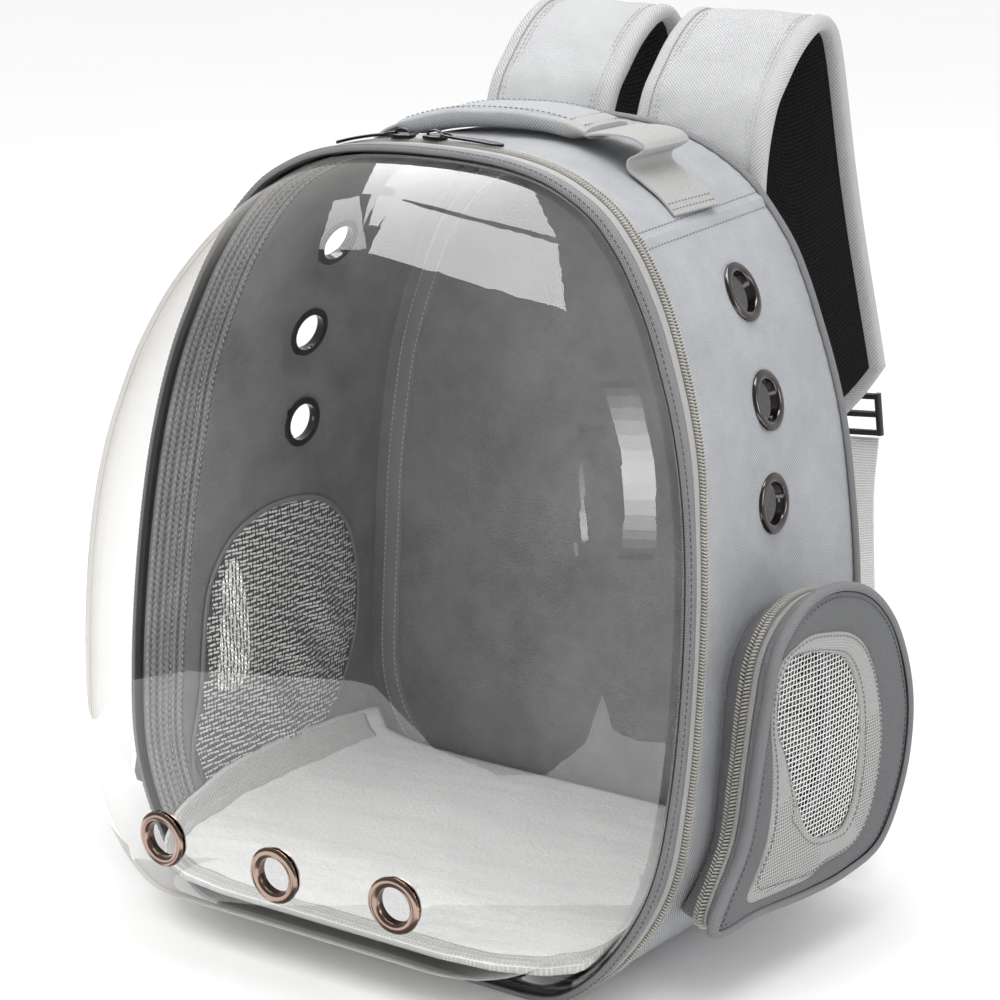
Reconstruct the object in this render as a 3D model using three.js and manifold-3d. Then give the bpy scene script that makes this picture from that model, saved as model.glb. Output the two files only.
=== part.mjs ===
// Bubble-front pet carrier backpack, in millimetres, +Z up, +X to the viewer's right, bubble towards -Y.
// The origin is the middle of the flat base, on the floor. The left half mirrors the right half.
import * as THREE from 'three';
import { mergeVertices } from 'three/addons/utils/BufferGeometryUtils.js';
import Module from 'manifold-3d';

// ---- driving dimensions ----
const Y0 = -105;              // y of the rim's foot
const BACK_Y = 207;           // depth from the rim's foot to the back edge of the side wall
const LEAN = 0.13;            // the rim plane leans back this much for each mm of height
const WALL = 3.0;             // padded side wall
const LINING = 1.2;           // inner cloth
const LOFT = 1.6;             // loose space between the wall and the lining
const GAP = 0.3;              // air between neighbouring pieces
const BINDING_W = 8.0, TAPE_W = 6.0, COIL_W = 6.8;   // bands behind the rim, front to back
const DOME = { depth: 98, power: 7.61, root: 1.2, midZ: 120, footZ: 18.6, drop: -5.9, tip: 0.23, inset: 5, wall: 2.0, set: 2 };
const BUBBLE_EYELET = { outer: 14, hole: 8.5, proud: 1.6 };
const SIDE_EYELET = { outer: 15, hole: 9.5, proud: 2.0 };
const BACK_PANEL_T = 6;
const STRAP = { width: 79, middle: 47.5, thick: 7, edge: 6.5, taper: 38 };
const WEBBING = { width: 25, thick: 1.8 };

// Arch outline, one row for each height: height and half width of the rim, then of the back edge.
const ARCH = [
  // rimZ, rimW, backZ, backW
  [0, 0, 0, 0], [0, 48, 0, 50], [0, 92, 0, 97], [2.5, 108, 2, 113], [8, 118.5, 6, 124], [18, 130, 14, 135],
  [29, 139, 25, 143.5], [43, 148, 38, 150.5], [60, 156, 55, 155.5], [80, 161.5, 76, 157.5], [113, 165, 108, 156.5],
  [150, 166, 145, 154.5], [186, 165, 181, 152.5], [222, 162, 216, 148.5], [255, 156.5, 249, 143], [283, 149, 276, 135.5],
  [305, 140.5, 298, 127.5], [325, 131.5, 318, 119.5], [342, 121.5, 336, 110.2], [356, 111.3, 356, 94.6], [369, 98.5, 364, 86.6],
  [378, 84, 372, 75], [385, 67, 380, 59], [389.5, 46, 386, 40], [391.5, 23, 389, 20], [392, 0, 390, 0],
];
// The soft side walls draw in between their stiff edges: height, greatest depth of the hollow.
const SAG = [ [0, 0], [55, 0], [110, 5.5], [170, 8], [223, 8], [273, 2.6], [318, 0.4], [345, 0], [420, 0] ];
// Side eyelets, top to bottom: distance back from the rim's foot, height.
const SIDE_EYELETS = [ { y: 138, z: 323, name: 'top' }, { y: 134, z: 273, name: 'middle' }, { y: 133, z: 223, name: 'bottom' } ];
// Bubble eyelets: sideways place, height.
const BUBBLE_EYELETS = [ { x: -69.5, z: 68.5, name: 'left' }, { x: 0, z: 66.5, name: 'center' }, { x: 69.5, z: 68.5, name: 'right' } ];
// Side window pod, one row for each point round its loop: foot on the wall, then outer edge, then the window's edge.
const POD = [
  // footY, footZ, outX, outY, outZ, winY, winZ
  [45, 45, 177.5, 31, 44, 56, 55], [58, 82, 182, 50, 82, 62, 86], [63, 115, 185, 56, 122, 67, 118], [68, 145, 187, 60, 150, 68, 140],
  [80, 164, 188.5, 66, 174, 72, 160], [100, 174, 191, 84, 191, 84, 171], [122, 176, 193.5, 106, 195.5, 104, 173], [146, 171, 195.5, 138, 187, 126, 169],
  [166, 156, 196.5, 164, 166, 144, 156], [178, 132, 197, 182, 134, 157, 131], [181, 106, 196, 189, 106, 163, 106], [176, 78, 194, 186, 74, 162, 82],
  [160, 56, 191, 170, 46, 150, 63], [130, 44, 187.5, 140, 38.5, 128, 55], [98, 40, 184, 106, 38.5, 103, 49], [66, 40, 180, 66, 42, 74, 50],
];
// Shoulder strap's outer face from its seam over the crest to its tip: y, z (y from the rim's foot).
const STRAP_PATH = [
  [218, 345], [219, 366], [222.5, 384], [230, 402], [240, 413.5], [251, 424.5], [263, 433], [276, 438.5], [288, 438.5], [297, 432], [303, 420],
  [308, 405], [317, 374], [328, 336], [340, 291], [347.5, 256], [351, 228], [352, 206],
];
// Lower webbing of a strap, from the buckle to the base corner: x, y, z.
const BUCKLE_AT = [72, 355.5, 212];   // middle of its front face
const LOW_WEB = [ [73.5, 359, 198.5], [77, 348, 170], [88, 329, 138], [106, 298, 106], [128, 258, 70], [145, 225, 43], [149, 216.6, 28] ];

const wasm = await Module();
wasm.setup();
const V = (x, y, z) => new THREE.Vector3(x, y, z);
const lerp = (a, b, t) => a + (b - a) * t;

// ---- solids from grids of points ----
// A wall between an outer and an inner grid [i][j]. ringI closes it along i. centre closes the last column j on a middle point.
function wall(outer, inner, { ringI = false, centre = false } = {}) {
  const n = outer.length, m = outer[0].length, pos = [], tri = [];
  for (const g of [outer, inner]) for (const row of g) for (const p of row) pos.push(p.x, p.y, p.z);
  const o = (i, j) => ((i + n) % n) * m + j, k = (i, j) => n * m + ((i + n) % n) * m + j;
  const quad = (a, b, c, d) => tri.push(a, b, c, a, c, d);
  const last = ringI ? n : n - 1;
  for (let i = 0; i < last; i++) {
    for (let j = 0; j < m - 1; j++) {
      quad(o(i, j), o(i + 1, j), o(i + 1, j + 1), o(i, j + 1));
      quad(k(i, j), k(i, j + 1), k(i + 1, j + 1), k(i + 1, j));
    }
    quad(o(i + 1, 0), o(i, 0), k(i, 0), k(i + 1, 0));
    if (!centre) quad(o(i, m - 1), o(i + 1, m - 1), k(i + 1, m - 1), k(i, m - 1));
  }
  if (!ringI) for (let j = 0; j < m - 1; j++) {
    quad(o(0, j), o(0, j + 1), k(0, j + 1), k(0, j));
    quad(o(n - 1, j + 1), o(n - 1, j), k(n - 1, j), k(n - 1, j + 1));
  }
  if (centre) for (const [g, f] of [[outer, o], [inner, k]]) {
    const c = V(0, 0, 0);
    for (const row of g) c.add(row[m - 1]);
    c.multiplyScalar(1 / n);
    const id = pos.length / 3;
    pos.push(c.x, c.y, c.z);
    for (let i = 0; i < n; i++) f === o ? tri.push(f(i, m - 1), f(i + 1, m - 1), id) : tri.push(f(i + 1, m - 1), f(i, m - 1), id);
  }
  return outward(pos, tri);
}
function outward(pos, tri) {
  let vol = 0;
  for (let t = 0; t < tri.length; t += 3) {
    const [a, b, c] = [tri[t], tri[t + 1], tri[t + 2]].map(q => V(pos[3 * q], pos[3 * q + 1], pos[3 * q + 2]));
    vol += a.dot(b.cross(c));
  }
  if (vol < 0) for (let t = 0; t < tri.length; t += 3) [tri[t + 1], tri[t + 2]] = [tri[t + 2], tri[t + 1]];
  const g = new THREE.BufferGeometry();
  g.setAttribute('position', new THREE.Float32BufferAttribute(pos, 3));
  g.setIndex(tri);
  return g;
}
const solid = g => {
  const c = g.clone();
  for (const a of Object.keys(c.attributes)) if (a !== 'position') c.deleteAttribute(a);
  const m = mergeVertices(c, 1e-4);
  return new wasm.Manifold(new wasm.Mesh({ numProp: 3, vertProperties: new Float32Array(m.attributes.position.array), triVerts: new Uint32Array(m.index.array) }));
};
const geometry = s => {
  const m = s.getMesh(), g = new THREE.BufferGeometry();
  g.setAttribute('position', new THREE.Float32BufferAttribute(Float32Array.from(m.vertProperties), 3));
  g.setIndex(Array.from(m.triVerts));
  return g;
};
const cut = (g, ...tools) => geometry(tools.reduce((s, t) => s.subtract(solid(t)), solid(g)));
const placed = (g, at, dir, up = V(0, 0, 1)) => {        // local z along dir, local y as near to up as it can be
  const z = dir.clone().normalize(), x = up.clone().cross(z).normalize(), y = z.clone().cross(x);
  return g.applyMatrix4(new THREE.Matrix4().makeBasis(x, y, z).setPosition(at));
};
const mirrored = g => {
  const c = g.index ? g.clone() : mergeVertices(g.clone());
  const p = c.attributes.position, pos = [];
  for (let i = 0; i < p.count; i++) pos.push(-p.getX(i), p.getY(i), p.getZ(i));
  return outward(pos, Array.from(c.index.array));
};

// ---- the bag's outline ----
const half = ARCH.map(([rz, rw, bz, bw]) => ({ rim: V(rw, 0, rz), back: V(bw, 0, bz) }));
const loopRows = [...half, ...half.slice(1, -1).reverse().map(h => ({ rim: V(-h.rim.x, 0, h.rim.z), back: V(-h.back.x, 0, h.back.z) }))];
const N = loopRows.length;
// The outline at station i, d mm behind the rim plane (or at the depth y), moved in by inset.
function flat(i, y) {
  const r = loopRows[(i + N) % N], f = LEAN * r.rim.z, v = (y - f) / (BACK_Y - f);
  const x = lerp(r.rim.x, r.back.x, v), z = lerp(r.rim.z, r.back.z, v);
  return [x - Math.sign(x) * sagAt(z) * 4 * Math.max(0, v * (1 - v)), z];
}
function onShell(i, y, inset = 0) {
  const [x, z] = flat(i, y), [x0, z0] = flat(i - 1, y), [x1, z1] = flat(i + 1, y);
  const t = new THREE.Vector2(x1 - x0, z1 - z0).normalize();
  return V(x - t.y * inset, Y0 + y, Math.max(inset > 0 ? Math.min(inset, 8) : 0, z + t.x * inset));
}
function sagAt(z) {
  const k = Math.max(1, SAG.findIndex(r => r[0] >= z)), [z0, a] = SAG[k - 1], [z1, b] = SAG[k], t = (z - z0) / (z1 - z0);
  return lerp(a, b, t * t * (3 - 2 * t));
}
const rimY = (i, d) => LEAN * loopRows[(i + N) % N].rim.z + d;
// A band round the rim: section rows give the distance behind the rim plane and how far the face stands proud.
const band = (section, back) => wall(
  loopRows.map((_, i) => section.map(([d, proud]) => onShell(i, rimY(i, d), -proud))),
  loopRows.map((_, i) => section.map(([d]) => onShell(i, rimY(i, d), back))), { ringI: true });
// Half width of the bag at a depth and height.
function halfWidth(y, z, inset = 0) {
  for (let i = 2; i < half.length - 1; i++) {
    const a = onShell(i, y, inset), b = onShell(i + 1, y, inset);
    if (z >= a.z - 1e-6 && z <= b.z) return lerp(a.x, b.x, (z - a.z) / (b.z - a.z));
  }
  return 0;
}
const sideNormal = (y, z) => V(8, 0, 0).add(V(0, 0, -(halfWidth(y, z + 4) - halfWidth(y, z - 4)))).add(V(0, -(halfWidth(y + 4, z) - halfWidth(y - 4, z)), 0)).normalize();

// ---- side window pods ----
const podCurve = (a, b, c) => new THREE.CatmullRomCurve3(POD.map(r => V(...[a, b, c].map(k => typeof k === 'number' ? r[k] : 0))), true, 'centripetal');
const POD_N = 28;
const podLoop = (curve) => Array.from({ length: POD_N }, (_, i) => curve.getPoint(i / POD_N));
const footLoop = podLoop(podCurve(null, 0, 1)).map(p => V(halfWidth(p.y, p.z), p.y + Y0, p.z));
const outLoop = podLoop(podCurve(2, 3, 4)).map(p => V(p.x, p.y + Y0, p.z));
const winLoop = podLoop(podCurve(null, 5, 6)).map(p => V(0, p.y + Y0, p.z));
const podX = (y, z) => 184 + 0.09 * (y - Y0 - 50) + 0.06 * (z - 120);     // the pod's slanted outer face
const loopIn = (loop, d) => loop.map((p, i) => {                            // moved in by d in the Y-Z plane
  const a = loop[(i + loop.length - 1) % loop.length], b = loop[(i + 1) % loop.length];
  const t = new THREE.Vector2(b.y - a.y, b.z - a.z).normalize();
  return V(p.x, p.y + t.y * d, p.z - t.x * d);
});
const spin = (() => { let s = 0; outLoop.forEach((p, i) => { const q = outLoop[(i + 1) % POD_N]; s += p.y * q.z - q.y * p.z; }); return s > 0 ? -1 : 1; })();
const inBy = (loop, d) => loopIn(loop, d * spin);
const shifted = (loop, dx) => loop.map(p => V(p.x + dx, p.y, p.z));
const between = (a, b, t, proud = 0) => inBy(a.map((p, i) => p.clone().lerp(b[i], t)), -proud);
const podDoorway = (() => {                                                 // the hole that the pod leaves in the wall and lining
  const l = inBy(footLoop, 4);
  return wall(l.map(p => [V(p.x + 20, p.y, p.z)]), l.map(p => [V(p.x - 25, p.y, p.z)]), { ringI: true, centre: true });
})();
function pod() {
  const rows = (pts) => pts[0].map((_, i) => pts.map(l => l[i]));
  const foot = shifted(footLoop, 1.6), edge = shifted(outLoop, -1.5);
  const gussetOut = rows([foot, between(foot, edge, 0.5, 1.0), inBy(edge, 0.6)]);
  const gussetIn = rows([inBy(foot, 2.2), inBy(between(foot, edge, 0.5, 1.0), 2.2), inBy(edge, 2.8)]);
  const face = (loop, dx) => loop.map(p => V(podX(p.y, p.z) + dx, p.y, p.z));
  const rim = face(inBy(outLoop, 3.4), 0), win = face(inBy(winLoop, -0.4), 0);
  const mesh = (t, out) => winLoop.map((p, i) => {
    const c = V(0, Y0 + 112, 112), q = V(0, lerp(c.y, p.y, t), lerp(c.z, p.z, t));
    return V(podX(q.y, q.z) + 7 * (1 - t * t) - 1.4 + out, q.y, q.z);
  });
  return {
    door_gusset: wall(gussetOut, gussetIn, { ringI: true }),
    door_panel: wall(rows([rim, win]), rows([shifted(rim, -1.8), shifted(win, -1.8)]), { ringI: true }),
    door_binding: wall(rows([shifted(inBy(outLoop, -1.2), -4), shifted(inBy(outLoop, -1.8), -1), shifted(inBy(outLoop, 0.6), 1.2)]),
      rows([shifted(inBy(outLoop, 0.1), -4), shifted(inBy(outLoop, 0.1), -1), shifted(inBy(outLoop, 1.6), 0.3)]), { ringI: true }),
    door_zip_coil: wall(rows([between(foot, edge, 0.34, 2.4), between(foot, edge, 0.47, 3.6), between(foot, edge, 0.6, 2.4)]),
      rows([between(foot, edge, 0.34, 1.3), between(foot, edge, 0.47, 1.5), between(foot, edge, 0.6, 1.5)]), { ringI: true }),
    door_mesh: wall(rows([mesh(0.98, 0), mesh(0.6, 0)]), rows([mesh(0.98, -1), mesh(0.6, -1)]), { ringI: true, centre: true }),
    door_mesh_frame: wall(rows([face(inBy(winLoop, -7), 1.6), face(inBy(winLoop, 5), 1.6 + 2.2)]), rows([face(inBy(winLoop, -7), 0.4), face(inBy(winLoop, 5), 0.4 + 2.0)]), { ringI: true }),
  };
}

// ---- bubble ----
function domeLoop(extra = 0) {
  return loopRows.map((_, i) => {
    const r = loopRows[i], [x0, z0] = flat(i - 1, rimY(i - 1, 0)), [x1, z1] = flat(i + 1, rimY(i + 1, 0));
    const t = new THREE.Vector2(x1 - x0, z1 - z0).normalize();
    return [r.rim.x - t.y * (DOME.inset + extra), r.rim.z + t.x * (DOME.inset + extra)];
  });
}
function domePoint([x, z], s, off = 0) {
  const foot = DOME.footZ - 13 * Math.pow(Math.max(0, s - 0.955) / 0.045, 1.6);      // the lower edge turns down to the flange
  const zz = z < DOME.midZ ? DOME.midZ - (DOME.midZ - z) * (DOME.midZ - foot) / (DOME.midZ - DOME.inset) : z;
  const zs = DOME.midZ + s * (zz - DOME.midZ);
  const h = (DOME.depth - off) * Math.pow(1 - Math.pow(s, DOME.power), 1 / DOME.root);
  const fall = 1 + DOME.tip * (zs - 196) / 196;
  return V(s * x, Y0 + LEAN * zs - h * fall + DOME.set, zs + DOME.drop * h / DOME.depth);
}
const DOME_S = [1, 0.985, 0.95, 0.895, 0.8, 0.62, 0.38];
function dome(grow = 0) {
  const out = domeLoop(-grow), inn = domeLoop(DOME.wall + grow);
  const flange = (y, inset) => loopRows.map((_, i) => onShell(i, rimY(i, y), inset));
  const fo = flange(DOME.set, 3.7 - grow), fi = flange(DOME.set + DOME.wall, 3.7 - grow);
  const outer = loopRows.map((_, i) => [...(grow ? [] : [fo[i]]), ...DOME_S.map(s => domePoint(out[i], s, -grow))]);
  const inner = loopRows.map((_, i) => [...(grow ? [] : [fi[i]]), ...DOME_S.map(s => { const p = domePoint(inn[i], s, DOME.wall + grow); if (s === 1) p.y += DOME.wall; return p; })]);
  return wall(outer, inner, { ringI: true, centre: true });
}
// The dome's face at a sideways place and height, and its normal, found on the formula.
function domeAt(x, z) {
  const loop = domeLoop();
  let best = null;
  for (let i = 0; i < N; i++) for (let s = 0.3; s <= 0.97; s += 0.01) for (let f = 0; f < 1; f += 0.25) {
    const a = loop[i], b = loop[(i + 1) % N], p = domePoint([lerp(a[0], b[0], f), lerp(a[1], b[1], f)], s);
    const d = Math.hypot(p.x - x, p.z - z);
    if (!best || d < best.d) best = { d, p };
  }
  return best.p;
}
const domeNormal = (x, z) => { const a = domeAt(x - 9, z), b = domeAt(x + 9, z), c = domeAt(x, z - 9), d = domeAt(x, z + 9); const n = b.sub(a).cross(d.sub(c)).normalize(); return n.y > 0 ? n.negate() : n; };

// ---- eyelets: a ring with a flange on each face, cut so that it holds the wall with a small gap ----
const peg = (r, len) => new THREE.CylinderGeometry(r, r, len, 16).rotateX(Math.PI / 2);
function eyelet({ outer, hole, proud }, front, back) {       // local z = 0 on the wall's face; the wall lies between front and -back
  const neck = hole + 1.7, f = front + 0.1, prof = [[hole, -back - 1], [hole, f + proud - 0.7], [(hole + outer) / 2, f + proud], [outer, f + 0.5],
    [outer, f], [neck, f], [neck, -back], [outer - 1.5, -back], [outer - 2, -back - 1]].map(([r, z]) => new THREE.Vector2(r, z));
  prof.push(prof[0].clone());
  prof.reverse();
  return new THREE.LatheGeometry(prof, 12).rotateX(Math.PI / 2);
}

// ---- shoulder straps ----
const strapCurve = new THREE.CatmullRomCurve3(STRAP_PATH.map(([y, z]) => V(0, y + Y0, z)), false, 'centripetal');
const STRAP_LEN = strapCurve.getLength();
// A point on the strap: across from its middle line, along as a share of its length, down from its outer face.
function onStrap(dx, s, down = 0, middle = STRAP.middle) {
  const p = strapCurve.getPointAt(Math.min(1, Math.max(0, s))), t = strapCurve.getTangentAt(Math.min(1, Math.max(0, s)));
  const sway = 14 * Math.pow(Math.max(0, s - 0.55) / 0.45, 2);
  return V(middle + sway + dx, p.y + t.z * down, p.z - t.y * down);
}
const strapEnd = (dx, back = 0) => 1 - (back + STRAP.taper * Math.pow(Math.abs(dx) / (STRAP.width / 2), 1.3)) / STRAP_LEN;
function strapParts() {
  const share = [0, 0.08, 0.15, 0.21, 0.255, 0.29, 0.32, 0.345, 0.37, 0.395, 0.43, 0.5, 0.6, 0.7, 0.8, 0.9, 1], W = STRAP.width / 2, wi = W - STRAP.edge, w = wi - GAP, back = STRAP.edge * 1.25;
  const rows = (cols, top) => share.map(u => cols.map((dx, j) => onStrap(dx, u * strapEnd(dx, back + 4 * GAP), top[j])));
  const fifths = [-1, -0.6, 0, 0.6, 1], cols = fifths.map(f => f * w);
  const pad = wall(rows(cols, [0.6, 0, 0, 0, 0.6]), rows(cols, cols.map(() => STRAP.thick - 2.1)), {});
  const thin = [-w, 0, w], lining = wall(rows(thin, thin.map(() => STRAP.thick - 1.3)), rows(thin, thin.map(() => STRAP.thick)), {});
  // edge binding, down one edge, round the tapered end and up the other
  const line = (half, behind) => [...share.map(u => [-half, u * strapEnd(half, behind)]), ...[-0.6, 0, 0.6].map(f => [f * half, strapEnd(f * half, behind)]),
    ...share.map(u => [half, u * strapEnd(half, behind)]).reverse()];
  const outerLine = line(W, 0), innerLine = line(wi, back);
  const strip = d => outerLine.map((o, i) => [onStrap(o[0], o[1], d), onStrap(innerLine[i][0], innerLine[i][1], d)]);
  const binding = wall(strip(-0.4), strip(STRAP.thick + 0.2), {});
  // buckle: a frame with two slots, behind the strap's tip
  const s = new THREE.Shape([[-17, -12], [17, -12], [17, 12], [-17, 12]].map(p => new THREE.Vector2(...p)));
  for (const y of [-8.2, 2]) s.holes.push(new THREE.Path([[-13.5, y], [-13.5, y + 6], [13.5, y + 6], [13.5, y]].map(p => new THREE.Vector2(...p))));
  const buckle = placed(new THREE.ExtrudeGeometry(s, { depth: 4.5, bevelEnabled: false }), V(...BUCKLE_AT).add(V(0, Y0, 0)), V(0.05, 1, 0.03), V(-0.1, 0, 1));
  // lower webbing
  const low = new THREE.CatmullRomCurve3(LOW_WEB.map(([x, y, z]) => V(x, y + Y0, z)), false, 'centripetal');
  const web = (down) => Array.from({ length: 15 }, (_, i) => {
    const p = low.getPointAt(i / 14), t = low.getTangentAt(i / 14);
    const side = V(1, 0.12, 0).addScaledVector(t, -V(1, 0.12, 0).dot(t)).normalize(), n = side.clone().cross(t).normalize();
    const e = V(0, 0, 0);
    return [-1, 1].map(f => p.clone().addScaledVector(side, f * WEBBING.width / 2).addScaledVector(n, down).add(e));
  });
  return { shoulder_strap: pad, strap_lining: lining, strap_binding: binding, strap_buckle: buckle, lower_webbing: wall(web(0), web(WEBBING.thick), {}) };
}

// ---- the pieces ----
const model = new THREE.Group();
const add = (name, g, color, roughness = 0.85, metalness = 0) => {
  const m = new THREE.Mesh(g, new THREE.MeshStandardMaterial({ color, roughness, metalness }));
  m.name = name;
  model.add(m);
  return m;
};
const GREY = 0xb9bcc2, DARK = 0x6b6d70, LIGHT = 0xd9d9d8, BLACK = 0x17181a, PLUSH = 0xf1f1ef;

// side wall: the arch over both sides and the top, open below between the lower corners
const FIRST = 4, arcStations = Array.from({ length: N - 2 * FIRST + 1 }, (_, i) => i + FIRST);
const strakes = [0, 0.25, 0.5, 0.75, 1];
const arcWall = (stations, front, back, inset, thick) => wall(
  stations.map(i => strakes.map(v => onShell(i, lerp(rimY(i, front), back, v), inset))),
  stations.map(i => strakes.map(v => onShell(i, lerp(rimY(i, front), back, v), inset + thick))), {});
const bands = BINDING_W + TAPE_W + COIL_W + 2 * GAP;
const eyeletFrames = SIDE_EYELETS.map(e => ({ ...e, at: V(halfWidth(e.y, e.z), e.y + Y0, e.z), n: sideNormal(e.y, e.z) }));
const drill = (e, r, side) => { const g = placed(peg(r, 40), e.at, e.n); return side < 0 ? mirrored(g) : g; };
const holes = r => eyeletFrames.flatMap(e => [drill(e, r, 1), drill(e, r, -1)]);
// the wall is three panels, sewn together along a level seam on each shoulder
const SHOULDER = ARCH.findIndex(r => r[0] === r[2] && r[0] > 300);
const panel = (from, to) => {                                // its ends stop a little short of the seam
  const grid = inset => Array.from({ length: to - from + 1 }, (_, k) => strakes.map(v => {
    const at = i => onShell(i, lerp(rimY(i, bands + 0.4), BACK_Y - 0.3, v), inset), i = from + k, p = at(i);
    return k === 0 && from === SHOULDER ? p.lerp(at(i + 1), 0.012) : k === to - from && to === SHOULDER ? p.lerp(at(i - 1), 0.012) : p;
  }));
  return [grid(0), grid(WALL)];
};
const sidePanel = cut(wall(...panel(FIRST, SHOULDER), {}), podDoorway, ...eyeletFrames.map(e => drill(e, SIDE_EYELET.hole + 2.1, 1)));
add('right_side_panel', sidePanel, GREY);
add('left_side_panel', mirrored(sidePanel), GREY);
const topHalf = panel(SHOULDER, half.length - 1);            // right half, up to the middle line, then its mirror image
add('top_panel', wall(...topHalf.map(g => [...g, ...g.slice(0, -1).reverse().map(row => row.map(p => V(-p.x, p.y, p.z)))]), {}), GREY);
const lining = arcWall(arcStations, 6, BACK_Y - 4, WALL + LOFT, LINING);
add('side_lining', cut(lining, podDoorway, mirrored(podDoorway), ...holes(SIDE_EYELET.hole + 2.1)), DARK);
const baseStations = Array.from({ length: 2 * FIRST + 1 }, (_, i) => i - FIRST);
const nearSeam = (i, d, inset) => {                          // stops a little short of the side wall
  const p = onShell(i, d, inset);
  return Math.abs(i) === FIRST ? p.lerp(onShell(i - Math.sign(i), d, inset), 0.04) : p;
};
const base = wall(...[0, WALL].map(inset => baseStations.map(i => strakes.map(v => nearSeam(i, lerp(rimY(i, bands + 0.4), BACK_Y - 0.3, v), inset)))), {});
add('base_panel', base, GREY);

// back panel and the cloth on its inner face
const plate = (y0, y1, inset, x0 = 0) => wall(
  loopRows.map((_, i) => [1, 0.55].map(s => { const p = onShell(i, BACK_Y, inset); return V(p.x * s, Y0 + y1, lerp(150, p.z, s)); })),
  loopRows.map((_, i) => [1, 0.55].map(s => { const p = onShell(i, BACK_Y, inset); return V(p.x * s, Y0 + y0, lerp(150, p.z, s)); })), { ringI: true, centre: true });
add('back_panel', plate(BACK_Y, BACK_Y + BACK_PANEL_T, 0), GREY);
add('back_lining', plate(BACK_Y - 3.2, BACK_Y - 3.2 + LINING, WALL + GAP + 0.4), DARK);
const pipingRow = section => arcStations.map(i => section.map(([d, proud]) => onShell(i, BACK_Y + d, -proud)));
add('back_piping', wall(pipingRow([[-2.2, 1.0], [0, 2.4], [2.2, 1.0]]), pipingRow([[-2.2, 0.4], [0, 0.4], [2.2, 0.4]])), DARK);

// rim: binding, zip tape and zip coil
add('rim_binding', band([[0, -1.2], [1.6, 0.8], [6.2, 0.8], [BINDING_W, -0.4]], 3.3), 0x7d7f82);
add('front_zip_tape', band([[BINDING_W + GAP, 0], [BINDING_W + TAPE_W, 0]], 2.0), LIGHT);
add('front_zip_coil', band([[BINDING_W + TAPE_W + GAP, 0.3], [BINDING_W + TAPE_W + GAP + COIL_W / 2, 1.6], [bands, 0.3]], 2.0), 0x9c9a96, 0.45, 0.2);

// bubble and its eyelets
const pegAt = (e, r, len) => placed(peg(r, len), domeAt(e.x, e.z), domeNormal(e.x, e.z));
add('bubble_dome', cut(dome(), ...BUBBLE_EYELETS.map(e => pegAt(e, BUBBLE_EYELET.hole + 2.2, 30))), 0xf4f4f0, 0.05);
for (const e of BUBBLE_EYELETS)
  add('bubble_eyelet_' + e.name, placed(eyelet(BUBBLE_EYELET, 0.3, DOME.wall + 1.6), domeAt(e.x, e.z), domeNormal(e.x, e.z)), 0x6d4a3a, 0.3, 1);
// side eyelets, which hold the wall and the lining together
for (const e of eyeletFrames) {
  const right = placed(eyelet(SIDE_EYELET, 0.8, WALL + LOFT + LINING + 1.4), e.at, e.n);
  add('right_eyelet_' + e.name, right, 0x3a3c3f, 0.25, 1);
  add('left_eyelet_' + e.name, mirrored(right), 0x3a3c3f, 0.25, 1);
}

// pods
for (const [name, g] of Object.entries(pod())) {
  const c = { door_gusset: GREY, door_panel: DARK, door_binding: 0x7d7f82, door_zip_coil: 0x9c9a96, door_mesh: 0xc9c8c2, door_mesh_frame: LIGHT }[name];
  add('right_' + name, g, c);
  add('left_' + name, mirrored(g), c);
}

// plush mat, curled up at its sides, with a rounded front that reaches into the bubble
const MAT_TOP = 26, MAT_ROWS = [ // back from the rim's foot, half width, underside where the bubble carries it
  [-33, 42, 26.6], [-28, 74, 26.2], [-16, 98, 25.6], [2, 114, 25], [16, 126, 25], [24, 134, 0], [60, 142.5, 0], [110, 144, 0], [160, 144, 0], [197, 143, 0],
];
const matCols = [-1, -0.93, -0.8, -0.5, 0, 0.5, 0.8, 0.93, 1];
const matBottom = (f, w, y, least) => {
  let z = 5;
  while (z < 60 && halfWidth(Math.max(y, 12), z, WALL + LOFT + LINING) < Math.abs(f * w) + 1.2) z += 0.5;
  return Math.max(z + 0.4, least);
};
const matTop = (f, w, y, least) => Math.max(MAT_TOP + (least ? 4.5 : 0) + (least ? 0 : 8) * Math.pow(Math.abs(f), 8), matBottom(f, w, y, least) + 3);
add('floor_mat', wall(...[matTop, matBottom].map(z => MAT_ROWS.map(([y, w, least]) => matCols.map(f => V(f * w, y + Y0, z(f, w, y, least)))))), PLUSH, 1);

// carrying handle: padded grip and the webbing that holds its ends
const GRIP = { y: 131, width: 38 };
// the grip lies lower at its left end, as it was let go: sideways place, top, thickness
const GRIP_ROWS = [ [-62, 394.8, 6.7], [-52, 398, 7.7], [-38, 401.8, 8.2], [-20, 404.4, 8.2], [0, 405.4, 8.2], [20, 405.2, 8.2], [34, 403.6, 8.2], [44, 401.4, 7.7], [50, 399.4, 7.2] ];
const gripGrid = sgn => GRIP_ROWS.map(([x, top, thick]) => [-1, -0.72, 0, 0.72, 1].map(f =>
  V(x, Y0 + GRIP.y + f * GRIP.width / 2, top - thick / 2 + sgn * (thick / 2) * (1 - 0.62 * Math.pow(Math.abs(f), 3.2)))));
add('handle_grip', wall(gripGrid(1), gripGrid(-1), {}), GREY);
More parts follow.
